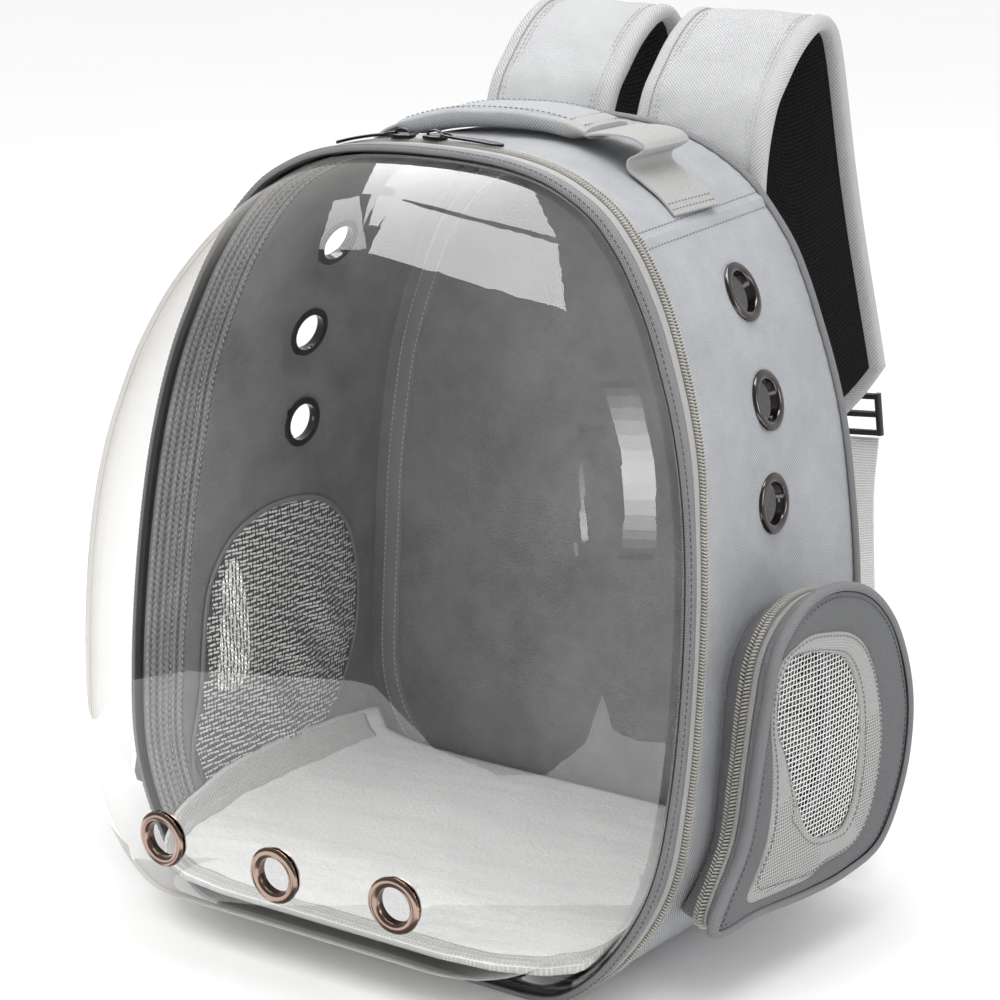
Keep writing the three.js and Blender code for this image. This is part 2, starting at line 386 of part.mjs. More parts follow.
// right: out to a folded tip, back under it and down the bag's shoulder to the cross seam; left: flat down the shoulder
const downShoulder = [374, 367, 359.5].map(z => [halfWidth(GRIP.y, z) + 1.8, z + 2]);
const HANDLE_WEBS = {
  right: [[50.6, 395.4], [60, 396.6], [72, 396.6], [80, 395], [84, 391.8], [80.4, 388.6], [75, 385.6], [75, 381.4], ...downShoulder],
  left: [[62.6, 391], [69, 388.2], [75, 383.8], ...downShoulder],
};
for (const [side, rows] of Object.entries(HANDLE_WEBS)) {
  const path = new THREE.CatmullRomCurve3(rows.map(([x, z]) => V(x, Y0 + GRIP.y, z)), false, 'centripetal'), n = side === 'right' ? 24 : 10;
  const face = down => Array.from({ length: n + 1 }, (_, i) => {
    const p = path.getPointAt(i / n), t = path.getTangentAt(i / n);
    return [-1, 1].map(f => V(p.x - t.z * down, p.y + f * 20, p.z + t.x * down));
  });
  const g = wall(face(0.8), face(-0.8), {});
  add(side + '_handle_webbing', side === 'right' ? g : mirrored(g), LIGHT);
}

// zip sliders and their pulls at the top of the rim
for (const [side, x] of [['left', -27], ['right', -8]]) {
  const at = V(x, Y0 + LEAN * 391 + 17.8, 395.4);
  const body = new THREE.Shape();
  body.moveTo(-6, -3.4); body.lineTo(3, -4.2); body.lineTo(6.5, -2); body.lineTo(6.5, 2); body.lineTo(3, 4.2); body.lineTo(-6, 3.4);
  const s = side === 'left' ? -1 : 1;
  const g = new THREE.ExtrudeGeometry(body, { depth: 2.6, bevelEnabled: false });
  if (s < 0) g.rotateZ(Math.PI);
  add(side + '_zip_slider', g.translate(at.x, at.y, at.z - 1.2), BLACK, 0.3, 0.8);
  const p = new THREE.Shape();
  p.moveTo(0, -2.2); p.lineTo(10, -3); p.lineTo(34, -3.2); p.quadraticCurveTo(38, 0, 34, 3.2); p.lineTo(10, 3); p.lineTo(0, 2.2);
  const pull = new THREE.ExtrudeGeometry(p, { depth: 1.4, bevelEnabled: false, curveSegments: 5 });
  if (s < 0) pull.rotateZ(Math.PI);
  add(side + '_zip_pull', pull.rotateY(s * 0.09).translate(at.x + s * 7.4, at.y + 1, at.z + 0.6), BLACK, 0.35, 0.7);
}

// shoulder straps
for (const [name, g] of Object.entries(strapParts())) {
  const c = { shoulder_strap: LIGHT, strap_lining: BLACK, strap_binding: 0xe4e3e0, strap_buckle: BLACK, lower_webbing: LIGHT }[name];
  add('right_' + name, g, c);
  add('left_' + name, mirrored(g), c);
}

export default model;
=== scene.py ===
import math

import bpy
import numpy as np
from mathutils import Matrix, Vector
from mathutils.bvhtree import BVHTree


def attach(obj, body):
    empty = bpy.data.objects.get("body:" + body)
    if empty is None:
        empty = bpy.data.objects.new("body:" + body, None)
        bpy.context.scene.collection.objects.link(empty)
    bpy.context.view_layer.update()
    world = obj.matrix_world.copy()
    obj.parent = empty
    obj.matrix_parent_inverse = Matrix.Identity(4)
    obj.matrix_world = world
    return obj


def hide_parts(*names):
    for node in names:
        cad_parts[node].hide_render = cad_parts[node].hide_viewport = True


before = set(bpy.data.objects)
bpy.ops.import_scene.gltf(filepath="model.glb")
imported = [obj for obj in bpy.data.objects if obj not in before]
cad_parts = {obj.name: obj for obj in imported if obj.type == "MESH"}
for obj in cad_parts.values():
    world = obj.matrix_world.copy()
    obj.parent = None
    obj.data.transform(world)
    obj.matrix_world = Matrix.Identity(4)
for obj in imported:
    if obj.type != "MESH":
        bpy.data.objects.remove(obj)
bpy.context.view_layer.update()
RNG = np.random.default_rng(7)
PI = math.pi

# ---------------------------------------------------------------- sizes, in mm, as in the CAD model
Y0, BACK_Y, LEAN = -105.0, 207.0, 0.13
WALL, LOFT, LINING = 3.0, 1.6, 1.2
BINDING_W, TAPE_W, COIL_W, GAP = 9.0, 6.4, 8.0, 0.3
BANDS = BINDING_W + TAPE_W + COIL_W + 2 * GAP
INNER = WALL + LOFT + LINING
ARCH = np.array([
    # rimZ, rimW, backZ, backW
    [0, 0, 0, 0], [0, 48, 0, 50], [0, 92, 0, 97], [2.5, 108, 2, 113], [8, 118.5, 6, 124], [18, 130, 14, 135],
    [29, 139, 25, 143.5], [43, 148, 38, 150.5], [60, 156, 55, 155.5], [80, 161.5, 76, 157.5], [113, 165, 108, 156.5],
    [150, 166, 145, 154.5], [186, 165, 181, 152.5], [222, 162, 216, 148.5], [255, 156.5, 249, 143], [283, 149, 276, 135.5],
    [305, 140.5, 298, 127.5], [325, 131.5, 318, 119.5], [342, 121.5, 336, 110.2], [356, 111.3, 356, 94.6], [369, 98.5, 364, 86.6],
    [378, 84, 372, 75], [385, 67, 380, 59], [389.5, 46, 386, 40], [391.5, 23, 389, 20], [392, 0, 390, 0]], float)
SAG = np.array([[0, 0], [55, 0], [110, 5.5], [170, 8], [223, 8], [273, 2.6], [318, 0.4], [345, 0], [420, 0]], float)
SIDE_EYELETS = [(138, 323, "top"), (134, 273, "middle"), (133, 223, "bottom")]          # depth, height
BUBBLE_EYELETS = [(-69.5, 68.5, "left"), (0, 66.5, "center"), (69.5, 68.5, "right")]    # sideways, height
DOME = dict(depth=98, power=7.61, midZ=120, footZ=18.6, drop=-5.9, tip=0.23, inset=5, wall=2.0, set=2)


# ---------------------------------------------------------------- curves
def cr(P, closed=False, sub=8):
    """Centripetal Catmull-Rom through the rows of P."""
    P = np.asarray(P, float)
    n, out, ts = len(P), [], []
    for k in range(n if closed else n - 1):
        p1, p2 = P[k], P[(k + 1) % n]
        p0 = P[k - 1] if (k > 0 or closed) else 2 * P[0] - P[1]
        p3 = P[(k + 2) % n] if (k + 2 < n or closed) else 2 * P[-1] - P[-2]
        d0, d1, d2 = (np.linalg.norm(b - a) ** 0.5 for a, b in ((p0, p1), (p1, p2), (p2, p3)))
        d1 = d1 if d1 > 1e-4 else 1.0
        d0, d2 = d0 if d0 > 1e-4 else d1, d2 if d2 > 1e-4 else d1
        m1 = ((p1 - p0) / d0 - (p2 - p0) / (d0 + d1) + (p2 - p1) / d1) * d1
        m2 = ((p2 - p1) / d1 - (p3 - p1) / (d1 + d2) + (p3 - p2) / d2) * d1
        t = (np.arange(sub) / sub)[:, None]
        out.append(p1 + m1 * t + (-3 * p1 + 3 * p2 - 2 * m1 - m2) * t ** 2 + (2 * p1 - 2 * p2 + m1 + m2) * t ** 3)
        ts.append(k + t[:, 0])
    if not closed:
        out.append(P[-1:])
        ts.append(np.array([n - 1.0]))
    return np.concatenate(out), np.concatenate(ts)


def arc(P, closed=False):
    Q = np.vstack([P, P[:1]]) if closed else P
    return np.concatenate([[0], np.cumsum(np.linalg.norm(np.diff(Q, axis=0), axis=1))])


def resample(P, n=None, step=None, closed=False, by=None):
    """Even steps along P; by says which columns give the length."""
    P = np.asarray(P, float)
    L = arc(P if by is None else P[:, by], closed)
    Q = np.vstack([P, P[:1]]) if closed else P
    if n is None:
        n = max(2, int(round(L[-1] / step)) + (0 if closed else 1))
    at = np.linspace(0, L[-1], n, endpoint=not closed)
    return np.stack([np.interp(at, L, Q[:, c]) for c in range(P.shape[1])], 1)


def unit(v):
    return v / np.maximum(np.linalg.norm(v, axis=-1, keepdims=True), 1e-9)


def smooth(a, b, x):
    t = np.clip((x - a) / (b - a), 0, 1)
    return t * t * (3 - 2 * t)


_waves = [(RNG.normal(size=3), RNG.uniform(0, 6.28, 3)) for _ in range(10)]


def ripple(P, length, seed=0):
    """Smooth made-up noise, about -1 to 1, over points P in mm, with features about length long."""
    v = 0
    for k in range(5):
        d, ph = _waves[(k + seed) % 10]
        d = d / np.linalg.norm(d)
        v = v + np.sin(P @ d * (2 * PI / length) * (0.7 + 0.22 * k) + ph[0] + 1.3 * np.sin(P @ np.roll(d, 1) * 2 * PI / (length * 1.7) + ph[1] + seed))
    return v / 3.2


# ---------------------------------------------------------------- meshes
ROOT = "root"


def build(name, V, quads=(), tris=(), uv=None, mats=(), idx=None, slot=None, replaces=(), sharp=38, ride=True, flip=None):
    """A mesh from arrays in mm. uv holds one pair per corner, quads first. idx is a material number per face."""
    V = np.asarray(V, float)
    quads, tris = np.asarray(quads, int).reshape(-1, 4), np.asarray(tris, int).reshape(-1, 3)
    a, b, c = (V[quads[:, k]] for k in (0, 1, 2))
    vol = (a * np.cross(b, c)).sum() + (V[quads[:, 0]] * np.cross(V[quads[:, 2]], V[quads[:, 3]])).sum() if len(quads) else 0
    vol += (V[tris[:, 0]] * np.cross(V[tris[:, 1]], V[tris[:, 2]])).sum() if len(tris) else 0
    turn = vol < 0 if flip is None else flip
    uv = None if uv is None else np.asarray(uv, float).reshape(-1, 2)
    if turn:
        if uv is not None:
            nq = len(quads) * 4
            uv = np.concatenate([uv[:nq].reshape(-1, 4, 2)[:, ::-1].reshape(-1, 2), uv[nq:].reshape(-1, 3, 2)[:, ::-1].reshape(-1, 2)])
        quads, tris = quads[:, ::-1], tris[:, ::-1]
    me = bpy.data.meshes.new(name)
    me.vertices.add(len(V))
    me.vertices.foreach_set("co", (V * 0.001).ravel().astype(np.float32))
    corners = np.concatenate([quads.ravel(), tris.ravel()]).astype(np.int32)
    me.loops.add(len(corners))
    me.loops.foreach_set("vertex_index", corners)
    starts = np.concatenate([np.arange(len(quads)) * 4, len(quads) * 4 + np.arange(len(tris)) * 3]).astype(np.int32)
    me.polygons.add(len(starts))
    me.polygons.foreach_set("loop_start", starts)
    if uv is not None:
        layer = me.uv_layers.new(name="UVMap")
        layer.data.foreach_set("uv", (uv * 0.001).ravel().astype(np.float32))
    for m in mats if isinstance(mats, (list, tuple)) else [mats]:
        me.materials.append(m)
    if idx is not None:
        me.polygons.foreach_set("material_index", np.asarray(idx, np.int32))
    me.polygons.foreach_set("use_smooth", np.ones(len(starts), bool))
    me.update(calc_edges=True)
    me.validate()
    if sharp:
        me.set_sharp_from_angle(angle=math.radians(sharp))
    ob = bpy.data.objects.new(name, me)
    bpy.context.scene.collection.objects.link(ob)
    if ride:
        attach(ob, ROOT)
        if replaces:
            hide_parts(*([replaces] if isinstance(replaces, str) else replaces))
    return ob


def sheet(outer, inner, uv=None, keep=None, ringI=False, centre=False):
    """The closed wall between two grids of points [i][j], without the cells that keep leaves out.
    Gives the arrays for build(). Part numbers: 0 outer face, 1 inner face, 2 edges."""
    M, K, _ = outer.shape
    mi = M if ringI else M - 1
    keep = np.ones((mi, K - 1), bool) if keep is None else keep
    I, J = np.meshgrid(np.arange(mi), np.arange(K - 1), indexing="ij")
    I, J = I[keep], J[keep]
    at = lambda i, j: (i % M) * K + j
    uvat = lambda i, j: i * K + j
    off = M * K
    corners = [(I, J), (I + 1, J), (I + 1, J + 1), (I, J + 1)]
    a, b, c, d = (at(*q) for q in corners)
    ua, ub, uc, ud = (uvat(*q) for q in corners)
    Q, U, T = [np.stack([a, b, c, d], 1), np.stack([a, d, c, b], 1) + off], [np.stack([ua, ub, uc, ud], 1), np.stack([ua, ud, uc, ub], 1)], [np.zeros(len(a)), np.ones(len(a))]
    pad = np.zeros((mi + 2, K + 1), bool)
    pad[1:-1, 1:-1] = keep
    if ringI:
        pad[0, 1:-1], pad[-1, 1:-1] = keep[-1], keep[0]
    for (di, dj), (p, q), (up, uq) in (((-1, 0), (a, d), (ua, ud)), ((1, 0), (c, b), (uc, ub)), ((0, -1), (b, a), (ub, ua)), ((0, 1), (d, c), (ud, uc))):
        if centre and dj == 1:
            edge = ~pad[I + 1 + di, J + 1 + dj] & (J < K - 2)
        else:
            edge = ~pad[I + 1 + di, J + 1 + dj]
        Q.append(np.stack([p, q, q + off, p + off], 1)[edge])
        U.append(np.stack([up, uq, uq, up], 1)[edge])
        T.append(np.full(edge.sum(), 2))
    V = np.concatenate([outer.reshape(-1, 3), inner.reshape(-1, 3)])
    Q, U, T = np.concatenate(Q), np.concatenate(U), np.concatenate(T)
    tris, tuv = np.zeros((0, 3), int), np.zeros((0, 3), int)
    if centre:
        V = np.vstack([V, outer[:, -1].mean(0), inner[:, -1].mean(0)])
        i = np.arange(M)
        tris = np.concatenate([np.stack([at(i, K - 1), at(i + 1, K - 1), np.full(M, 2 * off)], 1), np.stack([at(i + 1, K - 1) + off, at(i, K - 1) + off, np.full(M, 2 * off + 1)], 1)])
        tuv = np.concatenate([np.stack([uvat(i, K - 1), uvat(i + 1, K - 1), uvat(i, K - 1)], 1)] * 2)
        T = np.concatenate([T, np.zeros(M), np.ones(M)])
    used = np.unique(np.concatenate([Q.ravel(), tris.ravel()]))
    new = np.zeros(len(V), int)
    new[used] = np.arange(len(used))
    out = dict(V=V[used], quads=new[Q], tris=new[tris], idx=T.astype(int))
    if uv is not None:
        W = uv.reshape(-1, 2)
        out["uv"] = np.concatenate([W[U.ravel()], W[tuv.ravel()]])
    return out


def grid_uv(G, ringI=False):
    """Corner coordinates in mm: along i, and along j."""
    H = np.concatenate([G, G[:1]]) if ringI else G
    u = np.concatenate([[0], np.cumsum(np.linalg.norm(np.diff(H, axis=0), axis=2).mean(1))])
    v = np.concatenate([np.zeros((len(H), 1)), np.cumsum(np.linalg.norm(np.diff(H, axis=1), axis=2), axis=1)], 1)
    return np.stack([np.broadcast_to(u[:, None], v.shape), v], 2)


def merged(parts):
    V, Q, T, UV, TUV, I, TI, n = [], [], [], [], [], [], [], 0
    for p in parts:
        q, t = np.asarray(p["quads"], int).reshape(-1, 4), np.asarray(p.get("tris", np.zeros((0, 3))), int).reshape(-1, 3)
        V.append(p["V"]); Q.append(q + n); T.append(t + n)
        if "uv" in p:
            UV.append(p["uv"][:len(q) * 4]); TUV.append(p["uv"][len(q) * 4:])
        i = p.get("idx", np.zeros(len(q) + len(t), int))
        I.append(i[:len(q)]); TI.append(i[len(q):])
        n += len(p["V"])
    out = dict(V=np.concatenate(V), quads=np.concatenate(Q), tris=np.concatenate(T), idx=np.concatenate(I + TI))
    if UV:
        out["uv"] = np.concatenate(UV + TUV)
    return out


def tagged(p, k):
    p["idx"] = np.full(len(p["quads"]) + len(np.asarray(p.get("tris", np.zeros((0, 3)))).reshape(-1, 3)), k)
    if "uv" not in p:
        p["uv"] = np.zeros((len(p["quads"]) * 4, 2))
    return p


def lathe(profile, seg=64):
    """A ring from a closed profile of (radius, height) rows, round the z axis."""
    P = np.asarray(profile, float)
    a = np.linspace(0, 2 * PI, seg, endpoint=False)
    V = np.stack([np.cos(a)[:, None] * P[:, 0], np.sin(a)[:, None] * P[:, 0], np.broadcast_to(P[:, 1], (seg, len(P)))], 2).reshape(-1, 3)
    n = len(P)
    i, j = np.meshgrid(np.arange(seg), np.arange(n), indexing="ij")
    k = lambda i, j: ((i % seg) * n + j % n).ravel()
    s = arc(P, True)
    quads = np.stack([k(i, j), k(i + 1, j), k(i + 1, j + 1), k(i, j + 1)], 1)
    r = P[:, 0].mean()
    uv = np.stack([np.stack([(a_ * 2 * PI / seg * r).ravel(), s[b_].ravel()], 1) for a_, b_ in ((i, j), (i + 1, j), (i + 1, j + 1), (i, j + 1))], 1)
    return dict(V=V, quads=quads, uv=uv.reshape(-1, 2))


def placed(p, at, n, up=(0, 0, 1)):
    z = unit(np.asarray(n, float))
    x = unit(np.cross(np.asarray(up, float), z))
    y = np.cross(z, x)
    q = dict(p)
    q["V"] = np.asarray(p["V"]) @ np.stack([x, y, z]) + np.asarray(at, float)
    return q


def mirror(p):
    q = dict(p)
    q["V"] = np.asarray(p["V"]) * [-1, 1, 1]
    return q


def strokes(C, T, N, length, width, height, turn=0.0, lift=0.0, shape="stitch"):
    """Many small rounded strokes, centred at C, lying along T on a face with normal N."""
    C, T, N = np.atleast_2d(C), unit(np.atleast_2d(T)), unit(np.atleast_2d(N))
    S = unit(np.cross(N, T))
    if turn:
        c, s = np.cos(turn), np.sin(turn)
        T, S = T * c + S * s, S * c - T * s
    prof = [(-0.5, 0.3, -0.1), (-0.24, 0.95, 0.95), (0.24, 0.95, 0.95), (0.5, 0.3, -0.1)]
    n, V = len(C), []
    for a, w, h in prof:
        base = C + N * lift + T * (a * length)
        V += [base + S * (w * width / 2) - N * height * 0.3, base + S * (w * width / 3.2) + N * (h * height), base - S * (w * width / 3.2) + N * (h * height), base - S * (w * width / 2) - N * height * 0.3]
    V = np.stack(V, 1).reshape(-1, 3)
    Q = []
    for k in range(len(prof) - 1):
        for e in range(4):
            f = (e + 1) % 4
            Q.append([4 * k + e, 4 * k + f, 4 * k + 4 + f, 4 * k + 4 + e])
    Q += [[3, 2, 1, 0], [4 * len(prof) - 4, 4 * len(prof) - 3, 4 * len(prof) - 2, 4 * len(prof) - 1]]
    Q = np.array(Q)
    return dict(V=V, quads=(Q[None] + (np.arange(n) * 4 * len(prof))[:, None, None]).reshape(-1, 4))


def stitch_line(P, N, pitch=3.0, length=2.1, width=0.55, height=0.28, closed=False, **kw):
    """Stitches along a line of points P with face normals N."""
    R = resample(np.hstack([P, N]), step=pitch, closed=closed, by=[0, 1, 2])
    T = np.gradient(R[:, :3], axis=0)
    if closed:
        T = np.roll(R[:, :3], -1, 0) - np.roll(R[:, :3], 1, 0)
    return strokes(R[:, :3], T, R[:, 3:], length, width, height, **kw)


# ---------------------------------------------------------------- materials
class Nodes:
    def __init__(self, name):
        m = bpy.data.materials.new(name)
        m.use_nodes = True
        self.m, self.t = m, m.node_tree
        self.t.nodes.clear()
        self.out = self.add("ShaderNodeOutputMaterial")

    def add(self, kind, **props):
        n = self.t.nodes.new(kind)
        for k, v in props.items():
            setattr(n, k, v)
        return n

    def put(self, socket, value):
        if isinstance(value, bpy.types.NodeSocket):
            self.t.links.new(value, socket)
        elif value is not None:
            socket.default_value = value

    def math(self, op, a, b=None, c=None, clamp=False):
        n = self.add("ShaderNodeMath", operation=op, use_clamp=clamp)
        for s, v in zip(n.inputs, (a, b, c)):
            self.put(s, v)
        return n.outputs[0]

    def uv(self):
        n = self.add("ShaderNodeUVMap", uv_map="UVMap")
        s = self.add("ShaderNodeSeparateXYZ")
        self.t.links.new(n.outputs[0], s.inputs[0])
        return self.math("MULTIPLY", s.outputs[0], 1000.0), self.math("MULTIPLY", s.outputs[1], 1000.0), n.outputs[0]

    def xyz(self):
        n = self.add("ShaderNodeTexCoord")
        s = self.add("ShaderNodeSeparateXYZ")
        self.t.links.new(n.outputs["Object"], s.inputs[0])
        return n.outputs["Object"], s.outputs

    def noise(self, vec, scale, detail=3.0, rough=0.55):
        n = self.add("ShaderNodeTexNoise")
        self.put(n.inputs["Vector"], vec)
        n.inputs["Scale"].default_value = scale
        n.inputs["Detail"].default_value = detail
        n.inputs["Roughness"].default_value = rough
        return n.outputs[0]

    def mix(self, fac, a, b, blend="MIX"):
        n = self.add("ShaderNodeMix", data_type="RGBA", blend_type=blend)
        self.put(n.inputs[0], fac)
        for s, v in ((n.inputs[6], a), (n.inputs[7], b)):
            self.put(s, v if isinstance(v, bpy.types.NodeSocket) else (*v[:3], 1.0))
        return n.outputs[2]

    def ramp(self, fac, stops):
        n = self.add("ShaderNodeValToRGB")
        self.put(n.inputs[0], fac)
        e = n.color_ramp.elements
        while len(e) < len(stops):
            e.new(0.5)
        for el, (p, c) in zip(e, stops):
            el.position = p
            el.color = (c, c, c, 1) if np.isscalar(c) else (*c, 1)
        return n.outputs[0]

    def bump(self, height, distance, strength=1.0, normal=None):
        n = self.add("ShaderNodeBump")
        n.inputs["Strength"].default_value = strength
        n.inputs["Distance"].default_value = distance
        self.put(n.inputs["Height"], height)
        if normal is not None:
            self.put(n.inputs["Normal"], normal)
        return n.outputs[0]

    def principled(self, color, rough, metal=0.0, normal=None, spec=0.5, sheen=0.0, sheen_rough=0.5, coat=0.0, coat_rough=0.1, ior=1.5):
        n = self.add("ShaderNodeBsdfPrincipled")
        self.put(n.inputs["Base Color"], color if isinstance(color, bpy.types.NodeSocket) else (*color[:3], 1.0))
        self.put(n.inputs["Roughness"], rough)
        n.inputs["Metallic"].default_value = metal
        n.inputs["Specular IOR Level"].default_value = spec
        n.inputs["Sheen Weight"].default_value = sheen
        n.inputs["Sheen Roughness"].default_value = sheen_rough
        n.inputs["Coat Weight"].default_value = coat
        n.inputs["Coat Roughness"].default_value = coat_rough
        n.inputs["IOR"].default_value = ior
        if normal is not None:
            self.put(n.inputs["Normal"], normal)
        self.t.links.new(n.outputs[0], self.out.inputs[0])
        return n


def wave01(N, x, period, phase=0.0):
    """0 to 1 to 0 once in each period of x."""
    s = N.math("SINE", N.math("MULTIPLY_ADD", x, 2 * PI / period, phase))
    return N.math("MULTIPLY_ADD", s, 0.5, 0.5)


def cloth(name, color, pattern="twill", pitch=1.0, contrast=0.16, bump=0.00012, rough=0.85, mottle=0.07, grain=0.05, sheen=0.0, width=10.0, tint=None, spec=0.3):
    """Woven cloth. The weave follows the UV map, which is in metres."""
    N = Nodes(name)
    u, v, uvw = N.uv()
    if pattern == "twill":
        h = wave01(N, N.math("ADD", u, v), pitch * 1.0)
        k = wave01(N, N.math("SUBTRACT", u, v), pitch * 0.55)
        h = N.math("MULTIPLY_ADD", k, 0.35, N.math("MULTIPLY", h, 0.65))
    elif pattern == "plain":
        a, b = wave01(N, u, pitch), wave01(N, v, pitch)
        h = N.math("ABSOLUTE", N.math("SUBTRACT", a, b))
    elif pattern == "herring":
        z = N.math("PINGPONG", v, width / 2)
        h = wave01(N, N.math("ADD", u, N.math("MULTIPLY", z, 1.25)), pitch)
    elif pattern == "rib":            # ribs run across the band, with small threads along it
        a = wave01(N, u, pitch)
        b = wave01(N, v, pitch * 0.62)
        h = N.math("MULTIPLY_ADD", b, 0.3, N.math("MULTIPLY", a, 0.7))
    elif pattern == "along":          # ribs run along the band
        a = wave01(N, v, pitch)
        b = wave01(N, N.math("ADD", u, N.math("MULTIPLY", a, pitch * 0.5)), pitch * 0.8)
        h = N.math("MULTIPLY_ADD", b, 0.35, N.math("MULTIPLY", a, 0.65))
    elif pattern == "knit":
        a, b = wave01(N, u, pitch), wave01(N, v, pitch * 0.8)
        h = N.math("MULTIPLY", a, b)
    pos, _ = N.xyz()
    fine = N.noise(pos, 1500.0, 2.0)
    big = N.noise(pos, 16.0, 4.0)
    mid = N.noise(pos, 90.0, 3.0)
    lo, hi = [c * (1 - contrast) for c in color], [min(1.0, c * (1 + contrast)) for c in color]
    c = N.mix(h, lo, hi)
    g = N.math("MULTIPLY_ADD", N.math("SUBTRACT", big, 0.5), 2 * mottle * 1.6, 1.0)
    g = N.math("MULTIPLY_ADD", N.math("SUBTRACT", fine, 0.5), 2 * grain * 1.8, g)
    g = N.math("MULTIPLY_ADD", N.math("SUBTRACT", mid, 0.5), mottle * 1.2, g)
    comb = N.add("ShaderNodeCombineXYZ")
    for s in comb.inputs:
        N.put(s, g)
    c = N.mix(1.0, c, comb.outputs[0], "MULTIPLY")
    if tint is not None:
        c = N.mix(N.math("MULTIPLY", N.math("SUBTRACT", mid, 0.42, clamp=True), 2.2, clamp=True), c, tint)
    r = N.math("MULTIPLY_ADD", h, -0.10, rough + 0.05)
    hb = N.math("MULTIPLY_ADD", fine, 0.5, h)
    N.principled(c, r, normal=N.bump(hb, bump), sheen=sheen, spec=spec)
    return N.m


def netting(name, strand, behind, pitch):
    """A loose net lying on darker cloth."""
    N = Nodes(name)
    pos, xyz = N.xyz()
    wob = N.noise(pos, 70.0, 2.0)
    y, z = N.math("MULTIPLY_ADD", wob, 2.6, N.math("MULTIPLY", xyz[1], 1000.0)), N.math("MULTIPLY_ADD", wob, -2.2, N.math("MULTIPLY", xyz[2], 1000.0))
    h = N.math("MAXIMUM", wave01(N, y, pitch), wave01(N, z, pitch))
    m = N.ramp(h, [(0.66, 0.0), (0.88, 1.0)])
    c = N.mix(m, behind, strand)
    N.principled(c, 0.8, normal=N.bump(m, 0.0005), spec=0.2)
    return N.m


def plush(name, color):
    N = Nodes(name)
    pos, _ = N.xyz()
    a, b = N.noise(pos, 420.0, 5.0, 0.7), N.noise(pos, 28.0, 4.0)
    c = N.mix(N.ramp(a, [(0.3, 0.0), (0.7, 1.0)]), [k * 0.86 for k in color], color)
    c = N.mix(N.ramp(b, [(0.35, 0.0), (0.75, 0.35)]), c, [k * 0.84 for k in color])
    N.principled(c, 0.95, normal=N.bump(N.math("MULTIPLY_ADD", b, 0.6, a), 0.0012), sheen=0.35, spec=0.15)
    return N.m


def metal(name, color, rough, scratch=0.06, metallic=1.0, coat=0.0):
    N = Nodes(name)
    pos, _ = N.xyz()
    s, d = N.noise(pos, 260.0, 4.0), N.noise(pos, 45.0, 3.0)
    r = N.math("MULTIPLY_ADD", s, scratch * 2, rough - scratch)
    c = N.mix(N.ramp(d, [(0.35, 0.0), (0.7, 1.0)]), [k * 0.88 for k in color], color)
    N.principled(c, r, metal=metallic, normal=N.bump(s, 0.00002), coat=coat)
    return N.m


def moulded(name, color, rough=0.42):
    N = Nodes(name)
    pos, _ = N.xyz()
    s, d = N.noise(pos, 1400.0, 2.0), N.noise(pos, 60.0, 3.0)
    c = N.mix(d, [k * 0.8 for k in color], [min(1, k * 1.25) for k in color])
    N.principled(c, N.math("MULTIPLY_ADD", d, 0.16, rough - 0.08), normal=N.bump(s, 0.00004))
    return N.m


def clear(name, film, rim, line, gloss=True):
    """Thin clear sheet: it shows what is behind it, a little denser where it is seen edge-on, with mirror-like gloss."""
    N = Nodes(name)
    lw = N.add("ShaderNodeLayerWeight")
    lw.inputs["Blend"].default_value = 0.5
    tint = N.ramp(lw.outputs["Facing"], [(0.0, film), (0.60, film), (0.90, rim), (0.985, line)])
    tr = N.add("ShaderNodeBsdfTransparent")
    N.put(tr.inputs[0], tint)
    if not gloss:
        N.t.links.new(tr.outputs[0], N.out.inputs[0])
        return N.m
    gl = N.add("ShaderNodeBsdfGlossy")
    pos, _ = N.xyz()
    N.put(gl.inputs["Roughness"], N.math("MULTIPLY_ADD", N.noise(pos, 35.0, 3.0), 0.010, 0.008))
    fr = N.math("MULTIPLY_ADD", N.math("POWER", lw.outputs["Facing"], 5.0), 0.80, 0.055)
    mx = N.add("ShaderNodeMixShader")
    N.t.links.new(fr, mx.inputs[0])
    N.t.links.new(tr.outputs[0], mx.inputs[1])
    N.t.links.new(gl.outputs[0], mx.inputs[2])
    N.t.links.new(mx.outputs[0], N.out.inputs[0])
    return N.m


